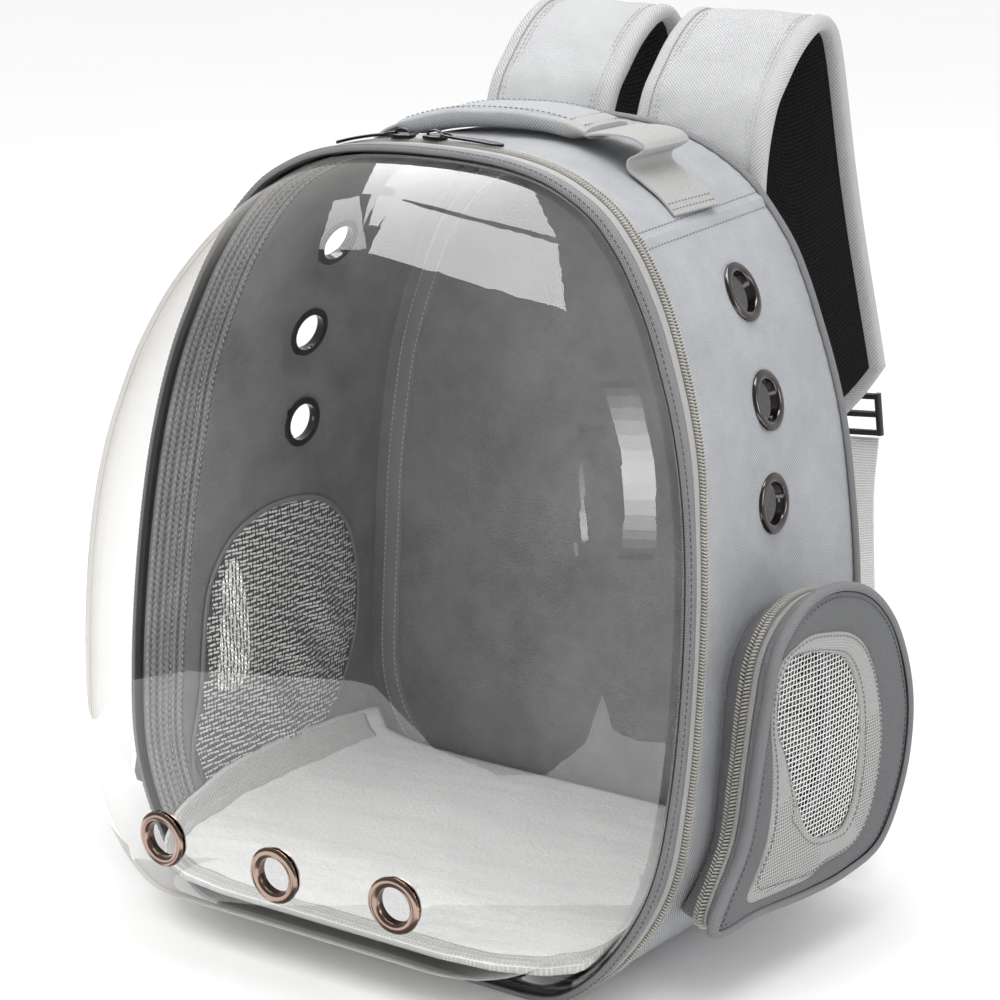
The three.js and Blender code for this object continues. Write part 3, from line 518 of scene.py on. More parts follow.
SHELL = (0.365, 0.374, 0.392)
MAT = dict(
    shell=cloth("shell_cloth", SHELL, "twill", 1.7, 0.42, 0.00030, 0.82, mottle=0.15, grain=0.10),
    shell_in=cloth("shell_cloth_back", (0.16, 0.16, 0.165), "plain", 1.2, 0.15),
    lining=cloth("lining_cloth", (0.235, 0.235, 0.238), "twill", 1.4, 0.28, 0.0002, 0.9, mottle=0.34, grain=0.2, sheen=0.05),
    lining_back=cloth("lining_cloth_back", (0.215, 0.215, 0.218), "plain", 1.1, 0.16, 0.00012, 0.92, mottle=0.34, grain=0.24, sheen=0.05),
    herring=cloth("herringbone_tape", (0.185, 0.187, 0.192), "herring", 1.35, 0.50, 0.00030, 0.6, mottle=0.05, grain=0.06, width=4.6, spec=0.5),
    ridge=cloth("lining_ridge_cloth", (0.27, 0.27, 0.272), "along", 4.6, 0.55, 0.0008, 0.85, mottle=0.30, grain=0.22, width=7.9),
    lining_tape=cloth("lining_corner_tape", (0.25, 0.25, 0.252), "twill", 1.1, 0.16, 0.00014, 0.85, mottle=0.1, grain=0.1),
    rim_grey=cloth("piping_cloth", (0.17, 0.172, 0.178), "twill", 1.6, 0.28, 0.00012, 0.7, mottle=0.05, grain=0.04),
    webbing_h=cloth("handle_webbing_cloth", (0.46, 0.46, 0.455), "plain", 1.5, 0.30, 0.0004, 0.8, mottle=0.04, grain=0.05),
    # rim_dark: painted shade, a near-black cloth standing in for the shade on the rim binding's inner lip and hidden
    # faces, and in the door gussets' coil bed and groove
    rim_dark=cloth("rim_inner_painted_shade", (0.055, 0.055, 0.057), "plain", 1.0, 0.1, 0.00005, 0.6),
    tape=cloth("zip_tape_cloth", (0.36, 0.357, 0.35), "twill", 1.6, 0.24, 0.00022, 0.7, mottle=0.04, grain=0.05),
    strap=cloth("strap_cloth", (0.455, 0.458, 0.465), "twill", 1.7, 0.26, 0.00022, 0.85, mottle=0.08, grain=0.05),
    strap_tape=cloth("strap_tape_cloth", (0.45, 0.45, 0.447), "twill", 2.0, 0.28, 0.0003, 0.8, mottle=0.04, grain=0.04),
    air_mesh=cloth("black_air_mesh", (0.012, 0.012, 0.013), "knit", 2.4, 0.55, 0.0005, 0.8, mottle=0.1, grain=0.1),
    webbing=cloth("webbing_cloth", (0.72, 0.715, 0.70), "rib", 1.5, 0.26, 0.0004, 0.8, mottle=0.04, grain=0.05),
    grip=cloth("grip_cloth", (0.38, 0.39, 0.405), "twill", 1.7, 0.36, 0.00028, 0.8, mottle=0.06, grain=0.05),
    door=cloth("door_cloth", (0.135, 0.138, 0.143), "twill", 1.7, 0.36, 0.00028, 0.75, mottle=0.06, grain=0.05),
    frame=cloth("mesh_band_cloth", (0.40, 0.395, 0.388), "knit", 1.7, 0.20, 0.0003, 0.85, mottle=0.05, grain=0.05),
    fine_net=netting("fine_net", (0.52, 0.515, 0.50), (0.20, 0.20, 0.20), 1.7),
    # painted shade: near-black strand cloth for the inner nets' outward faces, standing in for the shade between the
    # two nets
    net_painted_shade=cloth("net_strand_shaded", (0.13, 0.13, 0.13), "plain", 0.8, 0.08, 0.00005, 0.7),
    net=cloth("net_strand", (0.88, 0.87, 0.855), "plain", 0.8, 0.08, 0.00005, 0.7),
    plush=plush("mat_pile", (0.92, 0.92, 0.915)),
    trim=cloth("mat_trim", (0.60, 0.60, 0.59), "knit", 2.0, 0.2, 0.0005, 0.9),
    stitch_dark=cloth("stitch_dark", (0.06, 0.06, 0.065), "plain", 0.5, 0.1, 0.00002, 0.6),
    stitch_grey=cloth("stitch_grey", (0.17, 0.175, 0.19), "plain", 0.5, 0.1, 0.00002, 0.6),
    stitch_light=cloth("stitch_light", (0.55, 0.55, 0.55), "plain", 0.5, 0.1, 0.00002, 0.6),
    coil=moulded("zip_coil", (0.40, 0.385, 0.355), 0.36),
    coil_bed=cloth("zip_coil_bed", (0.13, 0.128, 0.122), "along", 1.6, 0.2, 0.0001, 0.6),
    copper=metal("eyelet_copper", (0.215, 0.155, 0.128), 0.17),
    nickel=metal("eyelet_black_nickel", (0.085, 0.078, 0.078), 0.16),
    black_metal=metal("slider_black", (0.035, 0.035, 0.037), 0.28),
    buckle=moulded("buckle_black", (0.012, 0.012, 0.013), 0.38),
    bubble=clear("bubble_sheet", (0.99, 0.99, 0.988), (0.93, 0.91, 0.885), (0.50, 0.48, 0.46)),
    bubble_in=clear("bubble_sheet_inside", (0.99, 0.99, 0.988), (0.95, 0.935, 0.915), (0.62, 0.60, 0.58), gloss=False),
    bubble_edge=clear("bubble_sheet_edge", (0.55, 0.54, 0.53), (0.45, 0.44, 0.43), (0.4, 0.39, 0.38)),
)

# ---------------------------------------------------------------- the bag's outline
half = ARCH
loop_rows = np.vstack([half[:, [1, 0, 3, 2]], (half[1:-1][::-1])[:, [1, 0, 3, 2]] * [-1, 1, -1, 1]])     # rim x, rim z, back x, back z
NROW = len(loop_rows)
_d, _t = cr(loop_rows, True, 12)
M = 640
_L = arc(_d[:, :2], True)
_at = np.linspace(0, _L[-1], M, endpoint=False)
_dd = np.vstack([_d, _d[:1]])
S = np.stack([np.interp(_at, _L, _dd[:, c]) for c in range(4)], 1)
ROW = np.interp(_at, _L, np.append(_t, NROW))          # the table row that each column lies at
S[:, 1] = np.maximum(S[:, 1], 0)
S[:, 3] = np.maximum(S[:, 3], 0)


def sag(z):
    k = np.clip(np.searchsorted(SAG[:, 0], z, side="left"), 1, len(SAG) - 1)
    t = np.clip((z - SAG[k - 1, 0]) / (SAG[k, 0] - SAG[k - 1, 0]), 0, 1)
    return SAG[k - 1, 1] + (SAG[k, 1] - SAG[k - 1, 1]) * t * t * (3 - 2 * t)


def flat(R, Y):
    f = LEAN * R[:, 1:2]
    v = (Y - f) / (BACK_Y - f)
    x, z = R[:, 0:1] + (R[:, 2:3] - R[:, 0:1]) * v, R[:, 1:2] + (R[:, 3:4] - R[:, 1:2]) * v
    return x - np.sign(x) * sag(z) * 4 * np.maximum(0, v * (1 - v)), z


def shell(Y, inset=0.0):
    """Points [column][j] at depth Y behind the rim's foot, moved inwards by inset. Part frame, mm."""
    Y = np.broadcast_to(Y, (M, np.shape(Y)[-1])) if np.ndim(Y) < 2 or np.shape(Y)[0] != M else Y
    inset = np.broadcast_to(inset, Y.shape)
    x, z = flat(S, Y)
    x0, z0 = flat(np.roll(S, 3, 0), Y)
    x1, z1 = flat(np.roll(S, -3, 0), Y)
    n = np.hypot(x1 - x0, z1 - z0)
    tx, tz = (x1 - x0) / n, (z1 - z0) / n
    Z = z + tx * inset
    return np.stack([x - tz * inset, Y0 + Y, np.maximum(np.where(inset > 0, np.minimum(inset, 8), 0), Z)], 2)


def rim_depth(d):
    """Depth of a line d mm behind the rim plane, for each column."""
    return LEAN * S[:, 1:2] + np.atleast_1d(d)[None]


def half_width(y, z):
    P = shell(np.full((M, 1), float(y)))[:, 0]
    k = np.where((ROW > 2.6) & (ROW < 24.9))[0]
    return float(np.interp(z, P[k, 2], P[k, 0]))


def side_normal(y, z):
    return unit(np.array([8, -(half_width(y + 4, z) - half_width(y - 4, z)), -(half_width(y, z + 4) - half_width(y, z - 4))]))


EYELET_AT = [(np.array([half_width(y, z), y + Y0, z]), side_normal(y, z), n) for y, z, n in SIDE_EYELETS]


def column(row):
    return int(np.argmin(np.abs(ROW - row)))


K4, K19 = column(4), column(19)
K31, K46 = M - K19, M - K4


# ---------------------------------------------------------------- side door outlines: foot, outer edge, window edge
POD = np.array([
    [45, 45, 177.5, 31, 44, 56, 55], [58, 82, 182, 50, 82, 62, 86], [63, 115, 185, 56, 122, 67, 118], [68, 145, 187, 60, 150, 68, 140],
    [80, 164, 188.5, 66, 174, 72, 160], [100, 174, 191, 84, 191, 84, 171], [122, 176, 193.5, 106, 195.5, 104, 173], [146, 171, 195.5, 138, 187, 126, 169],
    [166, 156, 196.5, 164, 166, 144, 156], [178, 132, 197, 182, 134, 157, 131], [181, 106, 196, 189, 106, 163, 106], [176, 78, 194, 186, 74, 162, 82],
    [160, 56, 191, 170, 46, 150, 63], [130, 44, 187.5, 140, 38.5, 128, 55], [98, 40, 184, 106, 38.5, 103, 49], [66, 40, 180, 66, 42, 74, 50]], float)
PN = 196


def pod_loop(cols_):
    P, _ = cr(np.hstack([np.zeros((len(POD), 3 - len(cols_))), POD[:, cols_]]), True, 20)
    return resample(P, PN, closed=True)


def pod_x(y, z):
    return 184 + 0.09 * (y - Y0 - 50) + 0.06 * (z - 120)


_f, _w = pod_loop([0, 1]), pod_loop([5, 6])
foot_loop = np.array([[half_width(p[1], p[2]), p[1] + Y0, p[2]] for p in _f])
out_loop = pod_loop([2, 3, 4]) + [0, Y0, 0]
# the same angle all round for every loop, seen from the middle of the window
MID = np.array([112.0 + Y0, 112.0])


def by_angle(P, n=PN):
    """P's points [x, y, z] again, evenly turned about the middle of the window."""
    a = np.unwrap(np.arctan2(P[:, 2] - MID[1], P[:, 1] - MID[0]))
    if a[-1] < a[0]:
        P, a = P[::-1], a[::-1]
    a, P = np.concatenate([a, [a[0] + 2 * PI]]), np.vstack([P, P[:1]])
    t = (np.linspace(0, 2 * PI, n, endpoint=False) - a[0]) % (2 * PI) + a[0]
    return np.stack([np.interp(t, a, P[:, c]) for c in range(3)], 1)


def picked(rows):
    P, _ = cr(np.array([[0, y + Y0, z] for y, z in rows], float), True, 12)
    return by_angle(P)


foot_loop, out_loop = by_angle(foot_loop), by_angle(out_loop)
WINDOW = picked([[74.3, 169.7], [90, 167.7], [107.4, 163.2], [121.1, 157.3], [130.5, 145.9], [137.2, 131.2], [141.3, 111.8], [142.3, 91.8], [140.5, 75.2], [133.2, 65.6],
                 [122.3, 65.1], [111.1, 67.4], [100.4, 74.7], [93.3, 87.3], [84.8, 102.8], [76.1, 120.6], [68.2, 132.9], [65.1, 143.8], [65.5, 156], [68.9, 164.9]])
FRAME = picked([[76.7, 173.9], [88.7, 176.5], [105.8, 174.1], [123.5, 169.3], [136.9, 160.8], [148, 146.3], [156.5, 128.4], [162.5, 108.3], [163.3, 92.2], [161.3, 76.8],
                [156, 62.4], [146.2, 53.4], [128.8, 51], [117.9, 50.6], [107.6, 47.4], [86.2, 48], [65.3, 49.4], [56, 51], [54.2, 56.3], [58.5, 62.6],
                [62.7, 68.9], [67, 78.5], [68.3, 89.5], [68.4, 100.7], [67.5, 113.3], [64.8, 125.6], [62.2, 136.4], [61.4, 149], [62.8, 161], [67.4, 169.8]])


def inby(L, d):
    """A loop moved in towards the window by d, in the side view."""
    t = np.roll(L, -1, 0) - np.roll(L, 1, 0)
    t = t[:, 1:] / np.linalg.norm(t[:, 1:], axis=1, keepdims=True)
    q = np.array(L)
    q[:, 1] -= t[:, 1] * d
    q[:, 2] += t[:, 0] * d
    return q


def betw(a, b, t, proud=0.0):
    return inby(a + (b - a) * t, -proud)


def push(L, dx):
    return L + [dx, 0, 0]


def inside(P2, poly):
    """Which of the points lie inside the polygon."""
    x, y = P2[..., 0], P2[..., 1]
    r = np.zeros(x.shape, bool)
    a = poly
    b = np.roll(poly, -1, 0)
    for (x0, y0), (x1, y1) in zip(a, b):
        if y0 == y1:
            continue
        r ^= ((y0 > y) != (y1 > y)) & (x < (x1 - x0) * (y - y0) / (y1 - y0) + x0)
    return r


def near(P2, poly):
    """The nearest point of the polygon to each point."""
    best, at = np.full(P2.shape[:-1], 1e9), np.zeros(P2.shape)
    b = np.roll(poly, -1, 0)
    for p, q in zip(poly, b):
        e = q - p
        t = np.clip(((P2 - p) @ e) / (e @ e), 0, 1)[..., None]
        c = p + t * e
        d = np.linalg.norm(P2 - c, axis=-1)
        m = d < best
        best[m] = d[m]
        at[m] = c[m]
    return best, at


def centres(G, ringI):
    H = np.concatenate([G, G[:1]]) if ringI else G
    return (H[:-1, :-1] + H[1:, :-1] + H[1:, 1:] + H[:-1, 1:]) / 4


def doorway(G, H, keep, side, loop, cell=2.6):
    """Cuts the side door's way through grid G (outer) and H (inner); the vertices near it are moved onto its line."""
    poly = loop[:, 1:]
    for A in (G, H):
        m = (np.sign(A[..., 0]) == side) & (np.abs(A[..., 0]) > 120)
        d, at = near(A[m][:, 1:], poly)
        s = d < cell
        p = A[m]
        mv = at - p[:, 1:]
        p[s, 1:] += mv[s]
        A[m] = p
    C = centres(G, len(keep) == len(G))
    keep &= ~((np.sign(C[..., 0]) == side) & (np.abs(C[..., 0]) > 120) & inside(C[..., 1:], poly))


def punch(G, H, keep, at, n, radius, cell=2.0, ring=False):
    """A round hole through grids G and H about the line at, n."""
    for A in (G, H):
        v = A - at
        r = v - (v @ n)[..., None] * n
        d = np.linalg.norm(r, axis=-1)
        m = (np.abs(d - radius) < cell) & (np.abs(v @ n) < 30)
        A[m] += (r * (radius / np.maximum(d, 1e-6) - 1)[..., None])[m]
    C = centres(G, ring) - at
    r = C - (C @ n)[..., None] * n
    keep &= ~((np.linalg.norm(r, axis=-1) < radius) & (np.abs(C @ n) < 30))


# ---------------------------------------------------------------- the cloth wall
def wall_depths(K, front, back):
    v = np.linspace(0, 1, K)
    f = rim_depth(front)
    return f + (back - f) * v[None], v


KS = 60
YS, VS = wall_depths(KS, BANDS + 0.3, BACK_Y - 0.3)
base_pts = shell(YS)
dist_front = (YS - rim_depth(BANDS))
fade = smooth(0, 14, dist_front) * smooth(0, 14, BACK_Y - YS)
for k in (K19, K31):
    fade = fade * (0.15 + 0.85 * smooth(3, 16, np.abs(base_pts[..., 2] - 356) + np.where(np.abs(np.arange(M) - k) < 60, 0, 99)[:, None]))
for at, n, _ in EYELET_AT:
    for sx in (1, -1):
        fade = fade * smooth(15, 30, np.linalg.norm(base_pts - at * [sx, 1, 1], axis=2))
_dd_, _ = near(np.where(np.abs(base_pts[..., :1]) > 120, base_pts[..., 1:], 9999.0), foot_loop[::4, 1:])
fade = fade * smooth(1, 18, _dd_)
low = smooth(4, 26, base_pts[..., 2])
disp = fade * low * (0.85 * ripple(base_pts, 110, 1) + 0.45 * ripple(base_pts, 46, 4) + 0.12 * ripple(base_pts, 19, 6))
_u = np.arange(M)[:, None] / M * _L[-1]
disp += 0.30 * np.sin(_u * 2 * PI / 8.3 + 2.2 * np.sin(_u / 31)) * np.exp(-np.maximum(dist_front - 1, 0) / 6) * smooth(0.4, 2.5, dist_front) * low
disp += 0.26 * np.sin(_u * 2 * PI / 9.6 + 1.9 * np.sin(_u / 27)) * np.exp(-(BACK_Y - YS) / 6) * smooth(0, 3, BACK_Y - YS) * low
seam_d = np.abs(base_pts[..., 2] - 356)
disp += 0.9 * np.exp(-(seam_d / 2.1) ** 2) * (ROW[:, None] > 15) * (ROW[:, None] < 35)
shell_out = shell(YS, -disp)
clamp = np.zeros((M, KS))
for at, n, _ in EYELET_AT:
    for sx in (1, -1):
        clamp = np.maximum(clamp, 1 - smooth(13, 27, np.linalg.norm(base_pts - at * [sx, 1, 1], axis=2)))
shell_in_ = shell(YS, (WALL - 0.6 - disp * 0.5) * (1 - clamp) + 1.0 * clamp)
SHELL_UV = grid_uv(shell_out, True)
door_foot = inby(foot_loop, 3.2)
wall_keep = np.ones((M, KS - 1), bool)
for side in (1, -1):
    doorway(shell_out, shell_in_, wall_keep, side, door_foot)
    for at, n, _ in EYELET_AT:
        punch(shell_out, shell_in_, wall_keep, at * [side, 1, 1], n * [side, 1, 1], 12.2, ring=True)


def part_of(k0, k1):
    if k0 > k1:
        i = np.concatenate([np.arange(k0, M), np.arange(0, k1 + 1)])
        uv = SHELL_UV[np.concatenate([np.arange(k0, M), np.arange(M, M + k1 + 1) % (M + 1)])]
        uv = SHELL_UV[i]
        uv = np.array(uv)
        uv[len(i) - k1 - 1:, :, 0] += SHELL_UV[M, 0, 0]
    else:
        i = np.arange(k0, k1 + 1)
        uv = SHELL_UV[i]
    return sheet(shell_out[i], shell_in_[i], uv, wall_keep[i[:-1]])


for name, k0, k1 in (("right_side_panel", K4, K19), ("top_panel", K19, K31), ("left_side_panel", K31, K46), ("base_panel", K46, K4)):
    p = part_of(k0, k1)
    extra = []
    if name != "base_panel":
        for ks, dz in ((K19, 3.3), (K31, 3.3), (K19, -3.4), (K31, -3.4)):
            if (name == "top_panel") != (dz > 0) or (name != "top_panel" and (name[0] == "r") != (ks == K19)):
                continue
            P, Nn = [], []
            for j in range(1, KS - 1):
                zs = shell_out[:, j, 2]
                seg = np.arange(ks - 26, ks + 27)
                o = np.argsort(zs[seg])
                P.append([np.interp(356 + dz, zs[seg][o], shell_out[seg, j, c][o]) for c in range(3)])
            P = np.array(P)
            nn = unit(np.cross(np.gradient(P, axis=0), unit(shell_out[ks + 8, KS // 2] - shell_out[ks - 8, KS // 2])))
            nn = nn * np.sign((nn * (P - [0, 0, 200])).sum(1))[:, None]
            extra.append(stitch_line(P, nn, 3.4, 2.5, 0.7, 0.32, lift=0.05))
    for e in extra:
        e["uv"] = np.zeros((len(e["quads"]) * 4, 2))
        e["idx"] = np.full(len(e["quads"]), 3)
    build(name + "_cloth", **merged([p] + extra), mats=[MAT["shell"], MAT["shell_in"], MAT["shell"], MAT["stitch_grey"]], slot="shell_fabric", replaces=name)

# ---------------------------------------------------------------- lining: ribbed strips near the rim, plain cloth behind
YL, VL = wall_depths(34, 4, BACK_Y - 4)
YL = np.concatenate([rim_depth(np.linspace(4, 30.5, 15)), rim_depth(30.5) + (BACK_Y - 4 - rim_depth(30.5)) * np.linspace(0, 1, 20)[None, 1:]], 1)
RIDGES = 14
dl = YL - rim_depth(0)
P0 = shell(YL, WALL + LOFT)
dent = np.zeros(YL.shape)
for e in (6.5, 14.5, 22.5, 30.5):
    dent -= 0.7 * np.exp(-((dl - e) / 1.3) ** 2)
dent += 0.55 * smooth(30, 50, dl) * smooth(0, 20, BACK_Y - 4 - YL) * ripple(P0, 60, 2)
pinch = np.zeros(YL.shape)
for at, n, _ in EYELET_AT:
    for sx in (1, -1):
        pinch = np.maximum(pinch, 1 - smooth(13, 27, np.linalg.norm(P0 - (at - n * INNER) * [sx, 1, 1], axis=2)))
L_out = shell(YL, (WALL + LOFT + 0.05) * (1 - pinch) + 1.25 * pinch)
L_in = shell(YL, (WALL + LOFT + LINING - np.clip(dent, -0.6, 0.6)) * (1 - pinch) + 2.2 * pinch)
L_keep = np.ones((M, 33), bool)
for side in (1, -1):
    doorway(L_out, L_in, L_keep, side, inby(foot_loop, 4.0))
    for at, n, _ in EYELET_AT:
        punch(L_out, L_in, L_keep, at * [side, 1, 1], n * [side, 1, 1], 12.0, ring=True)
i = np.arange(K4, K46 + 1)
p = sheet(L_out[i], L_in[i], grid_uv(L_in, True)[i], L_keep[i[:-1]])
jj = np.broadcast_to(np.arange(33), L_keep[i[:-1]].shape)[L_keep[i[:-1]]]
p["idx"][:] = 0
p["idx"][:2 * len(jj)] = np.tile(np.where(jj < RIDGES, 1, 0), 2)
rows = []
for d in (8.0, 16.4, 20.9, 29.0):
    Yd = rim_depth(d)
    P, Q = shell(Yd, INNER + 0.1)[i, 0], shell(Yd, INNER + 6)[i, 0]
    rows.append(stitch_line(P, unit(Q - P), 3.2, 2.3, 0.6, 0.3))
for e in rows:
    e["uv"] = np.zeros((len(e["quads"]) * 4, 2)); e["idx"] = np.full(len(e["quads"]), 2)
build("side_lining_cloth", **merged([p] + rows), mats=[MAT["lining"], MAT["ridge"], MAT["stitch_light"]], slot="lining_fabric", replaces="side_lining")

# ---------------------------------------------------------------- back panel, its lining and its piping
cx = np.arange(0, M, 4)


def plate(Y, inset, s_rows, deep):
    """Rows [column][s] shrinking towards the middle, at depth Y + deep(x, z, s)."""
    P = shell(np.full((M, 1), float(Y)), inset)[cx, 0]
    G = np.zeros((len(cx), len(s_rows), 3))
    for j, s in enumerate(s_rows):
        G[:, j, 0], G[:, j, 2] = P[:, 0] * s, 150 + (P[:, 2] - 150) * s
    G[..., 1] = Y0 + Y + deep(G[..., 0], G[..., 2], np.broadcast_to(np.array(s_rows)[None], G.shape[:2]))
    return G


SR = np.concatenate([[1, 0.992, 0.98, 0.965], np.linspace(0.94, 0.02, 54)])


def pads(x, z, s):
    """The back is padded, with sewn channels across it."""
    ch = np.abs(((z - 40) / 62.0 + 0.012 * np.sin(x / 30)) % 1 - 0.5) * 2
    edge = smooth(0, 0.07, 1 - s)
    return BACK_PANEL_T - 2.6 + edge * (2.4 + 1.0 * (1 - ch ** 6) - 0.9 * np.exp(-((1 - ch) / 0.06) ** 2)) + 0.15 * np.sin(x / 17 + z / 29) * edge


BACK_PANEL_T = 6.0
G1, G2 = plate(BACK_Y, 0.2, SR, pads), plate(BACK_Y, 0.2, SR, lambda x, z, s: 0 * x)
uvb = np.stack([G1[..., 0], G1[..., 2]], 2)
uvb = np.concatenate([uvb, uvb[:1]])
ob = build("back_panel_pad", **sheet(G1, G2, uvb, ringI=True, centre=True), mats=[MAT["shell"], MAT["shell_in"], MAT["shell"]], slot="shell_fabric", replaces="back_panel")


def wrinkle(x, z, s):
    return 0.35 * np.sin(x / 23 + 2.1 * np.sin(z / 61)) * smooth(0, 0.2, 1 - s)


G1 = plate(BACK_Y - 3.2, WALL + GAP + 0.4, SR, lambda x, z, s: -0.5 + wrinkle(x, z, s))
G2 = plate(BACK_Y - 3.2, WALL + GAP + 0.4, SR, lambda x, z, s: LINING - 0.3 + 0 * x)
uvb = np.concatenate([np.stack([G1[..., 0], G1[..., 2]], 2)] * 2)[:len(cx) + 1]
p = sheet(G1, G2, uvb, ringI=True, centre=True)
p["idx"][:] = 0
i = np.arange(K4, K46 + 1)
ins = np.array([9.0, 9.6, 12, 15, 18, 20.4, 21.0])
rise = np.array([0.2, 1.0, 1.35, 1.45, 1.35, 1.0, 0.2])
T1 = shell(BACK_Y - 3.7 - rise, WALL + GAP + ins)[i]
T2 = shell(np.full(7, BACK_Y - 3.4), WALL + GAP + ins)[i]
tp = tagged(sheet(T1, T2, grid_uv(T1)), 1)
rows = [tp]
for e in (10.8, 19.2):
    P = shell(np.full((M, 1), BACK_Y - 3.7 - 1.3), WALL + GAP + e)[i, 0]
    rows.append(tagged(stitch_line(P, np.tile([0, -1.0, 0], (len(P), 1)), 3.2, 2.3, 0.6, 0.35), 2))
p["uv"] = p.get("uv", np.zeros((len(p["quads"]) * 4 + len(p["tris"]) * 3, 2)))
build("back_lining_cloth", **merged([p] + rows), mats=[MAT["lining_back"], MAT["lining_tape"], MAT["stitch_light"]], slot="lining_fabric", replaces="back_lining")


def tube(C, A, B, ra, rb, seg=10, closed=False):
    """A round-section sweep along C with section axes A and B."""
    t = np.linspace(0, 2 * PI, seg, endpoint=False)
    G = C[:, None] + A[:, None] * (np.cos(t) * ra)[None, :, None] + B[:, None] * (np.sin(t) * rb)[None, :, None]
    return swept(G, closed)


def swept(G, closed=False):
    """Skin over sections G [along][round], with flat ends unless closed."""
    n, m, _ = G.shape
    k = lambda i, j: ((i % n) * m + j % m).ravel()
    I, J = np.meshgrid(np.arange(n if closed else n - 1), np.arange(m), indexing="ij")
    Q = np.stack([k(I, J), k(I + 1, J), k(I + 1, J + 1), k(I, J + 1)], 1)
    H = np.concatenate([G, G[:1]]) if closed else G
    u = np.concatenate([[0], np.cumsum(np.linalg.norm(np.diff(H.mean(1), axis=0), axis=1))])
    v = np.concatenate([np.zeros((n, 1)), np.cumsum(np.linalg.norm(np.diff(np.concatenate([G, G[:, :1]], 1), axis=1), axis=2), axis=1)], 1)
    v = v.mean(0)
    uv = np.stack([np.stack([u[a].ravel(), v[b].ravel()], 1) for a, b in ((I, J), (I + 1, J), (I + 1, J + 1), (I, J + 1))], 1).reshape(-1, 2)
    V, T, tuv = G.reshape(-1, 3), np.zeros((0, 3), int), np.zeros((0, 2))
    if not closed:
        V = np.vstack([V, G[0].mean(0), G[-1].mean(0)])
        j = np.arange(m)
        T = np.concatenate([np.stack([np.full(m, n * m), (j + 1) % m, j], 1), np.stack([np.full(m, n * m + 1), (n - 1) * m + j, (n - 1) * m + (j + 1) % m], 1)])
        T = T[:, ::-1] if False else T
        tuv = np.zeros((len(T) * 3, 2))
    return dict(V=V, quads=Q, tris=T, uv=np.concatenate([uv, tuv]), idx=np.zeros(len(Q) + len(T), int))


i = np.arange(K4, K46 + 1)
Yb = np.full((M, 1), BACK_Y)
Pb, Pn = shell(Yb, -1.0)[i, 0], unit(shell(Yb, -4)[i, 0] - shell(Yb, 0)[i, 0])
build("back_piping_cord", **tube(Pb, Pn, np.broadcast_to([0, 1.0, 0], Pn.shape), 1.7, 2.3, 12), mats=MAT["rim_grey"], slot="edge_binding", replaces="back_piping")


# ---------------------------------------------------------------- the rim: binding, zip tape, zip coil
def rim_band(section, back=3.2):
    d, proud = np.array(section).T
    O, I_ = shell(rim_depth(d), -proud), shell(rim_depth(d), np.full(len(d), back))
    return O, I_, sheet(O, I_, grid_uv(O, True), ringI=True)


def on_rim(d, proud):
    P = shell(rim_depth(d), -proud)[:, 0]
    return P, unit(shell(rim_depth(d), -proud - 4)[:, 0] - P)


def teeth(P, N, side, pitch, length, width, height, turn, closed=True, shift=0.0):
    """One row of a zip's coil: small rounded strokes across the line P."""
    R = resample(np.hstack([P, N]), step=pitch, closed=closed, by=[0, 1, 2])
    T = np.roll(R[:, :3], -1, 0) - np.roll(R[:, :3], 1, 0)
    T[0], T[-1] = (T[0], T[-1]) if closed else (T[1], T[-2])
    C = R[:, :3] + unit(T) * pitch * shift
    S = unit(np.cross(R[:, 3:], unit(T)))
    return strokes(C, unit(S * side + unit(T) * turn), R[:, 3:], length, width, height)


bead = [[0.55, -3.1], [0.1, -2.4], [0, -1.6], [0.15, -0.8], [0.6, 0.0], [1.3, 0.55], [2.3, 0.9], [3.8, 1.0], [5.6, 1.0], [7.0, 0.85], [8.2, 0.45], [8.9, -0.2], [9.0, -0.9]]
O, I_, p = rim_band(bead)
nq = M * (len(bead) - 1)
# painted shade: the bead's inner lip and all its inner and edge faces take the near-black rim cloth
p["idx"][:nq] = np.where(np.tile(np.arange(len(bead) - 1), M) < 1, 1, 0)
p["idx"][nq:] = 1
P, Nn = on_rim(1.0, 0.25)
st = stitch_line(P, Nn, 3.0, 2.2, 0.65, 0.3, closed=True)
st["uv"], st["idx"] = np.zeros((len(st["quads"]) * 4, 2)), np.full(len(st["quads"]), 2)
build("rim_binding_tape", **merged([p, st]), mats=[MAT["herring"], MAT["rim_dark"], MAT["stitch_dark"]], slot="edge_binding", replaces="rim_binding")
O, I_, p = rim_band([[9.3, -0.7], [9.6, 0.05], [10.6, 0.3], [12.5, 0.45], [14.4, 0.3], [15.4, 0.1], [15.7, -0.5]], 2.0)
build("front_zip_tape_cloth", **p, mats=MAT["tape"], slot="zip_tape", replaces="front_zip_tape")
O, I_, p = rim_band([[16.0, -0.6], [16.4, 0.1], [18.0, 0.35], [19.9, -0.4], [21.8, 0.35], [23.4, 0.1], [24.0, -0.3]], 2.0)
p["idx"][:] = 0
rows = []
for d, side, shift in ((18.0, 1, 0.0), (21.8, -1, 0.5)):
    P, Nn = on_rim(d, 0.45)
    e = teeth(P, Nn, side, 1.6, 3.7, 1.15, 1.15, 0.45, shift=shift)
    e["uv"], e["idx"] = np.zeros((len(e["quads"]) * 4, 2)), np.full(len(e["quads"]), 1)
    rows.append(e)
build("front_zip_coil_teeth", **merged([p] + rows), mats=[MAT["coil_bed"], MAT["coil"]], slot="zip_teeth", replaces="front_zip_coil")


# ---------------------------------------------------------------- the clear bubble
def dome_loop(extra=0.0):
    f0, f1 = rim_depth(0), rim_depth(0)
    x, z = flat(S, f0)
    x0, z0, x1, z1 = np.roll(x, 3), np.roll(z, 3), np.roll(x, -3), np.roll(z, -3)
    n = np.hypot(x1 - x0, z1 - z0)
    tx, tz = ((x1 - x0) / n)[:, 0], ((z1 - z0) / n)[:, 0]
    return np.stack([S[:, 0] - tz * (DOME["inset"] + extra), S[:, 1] + tx * (DOME["inset"] + extra)], 1)


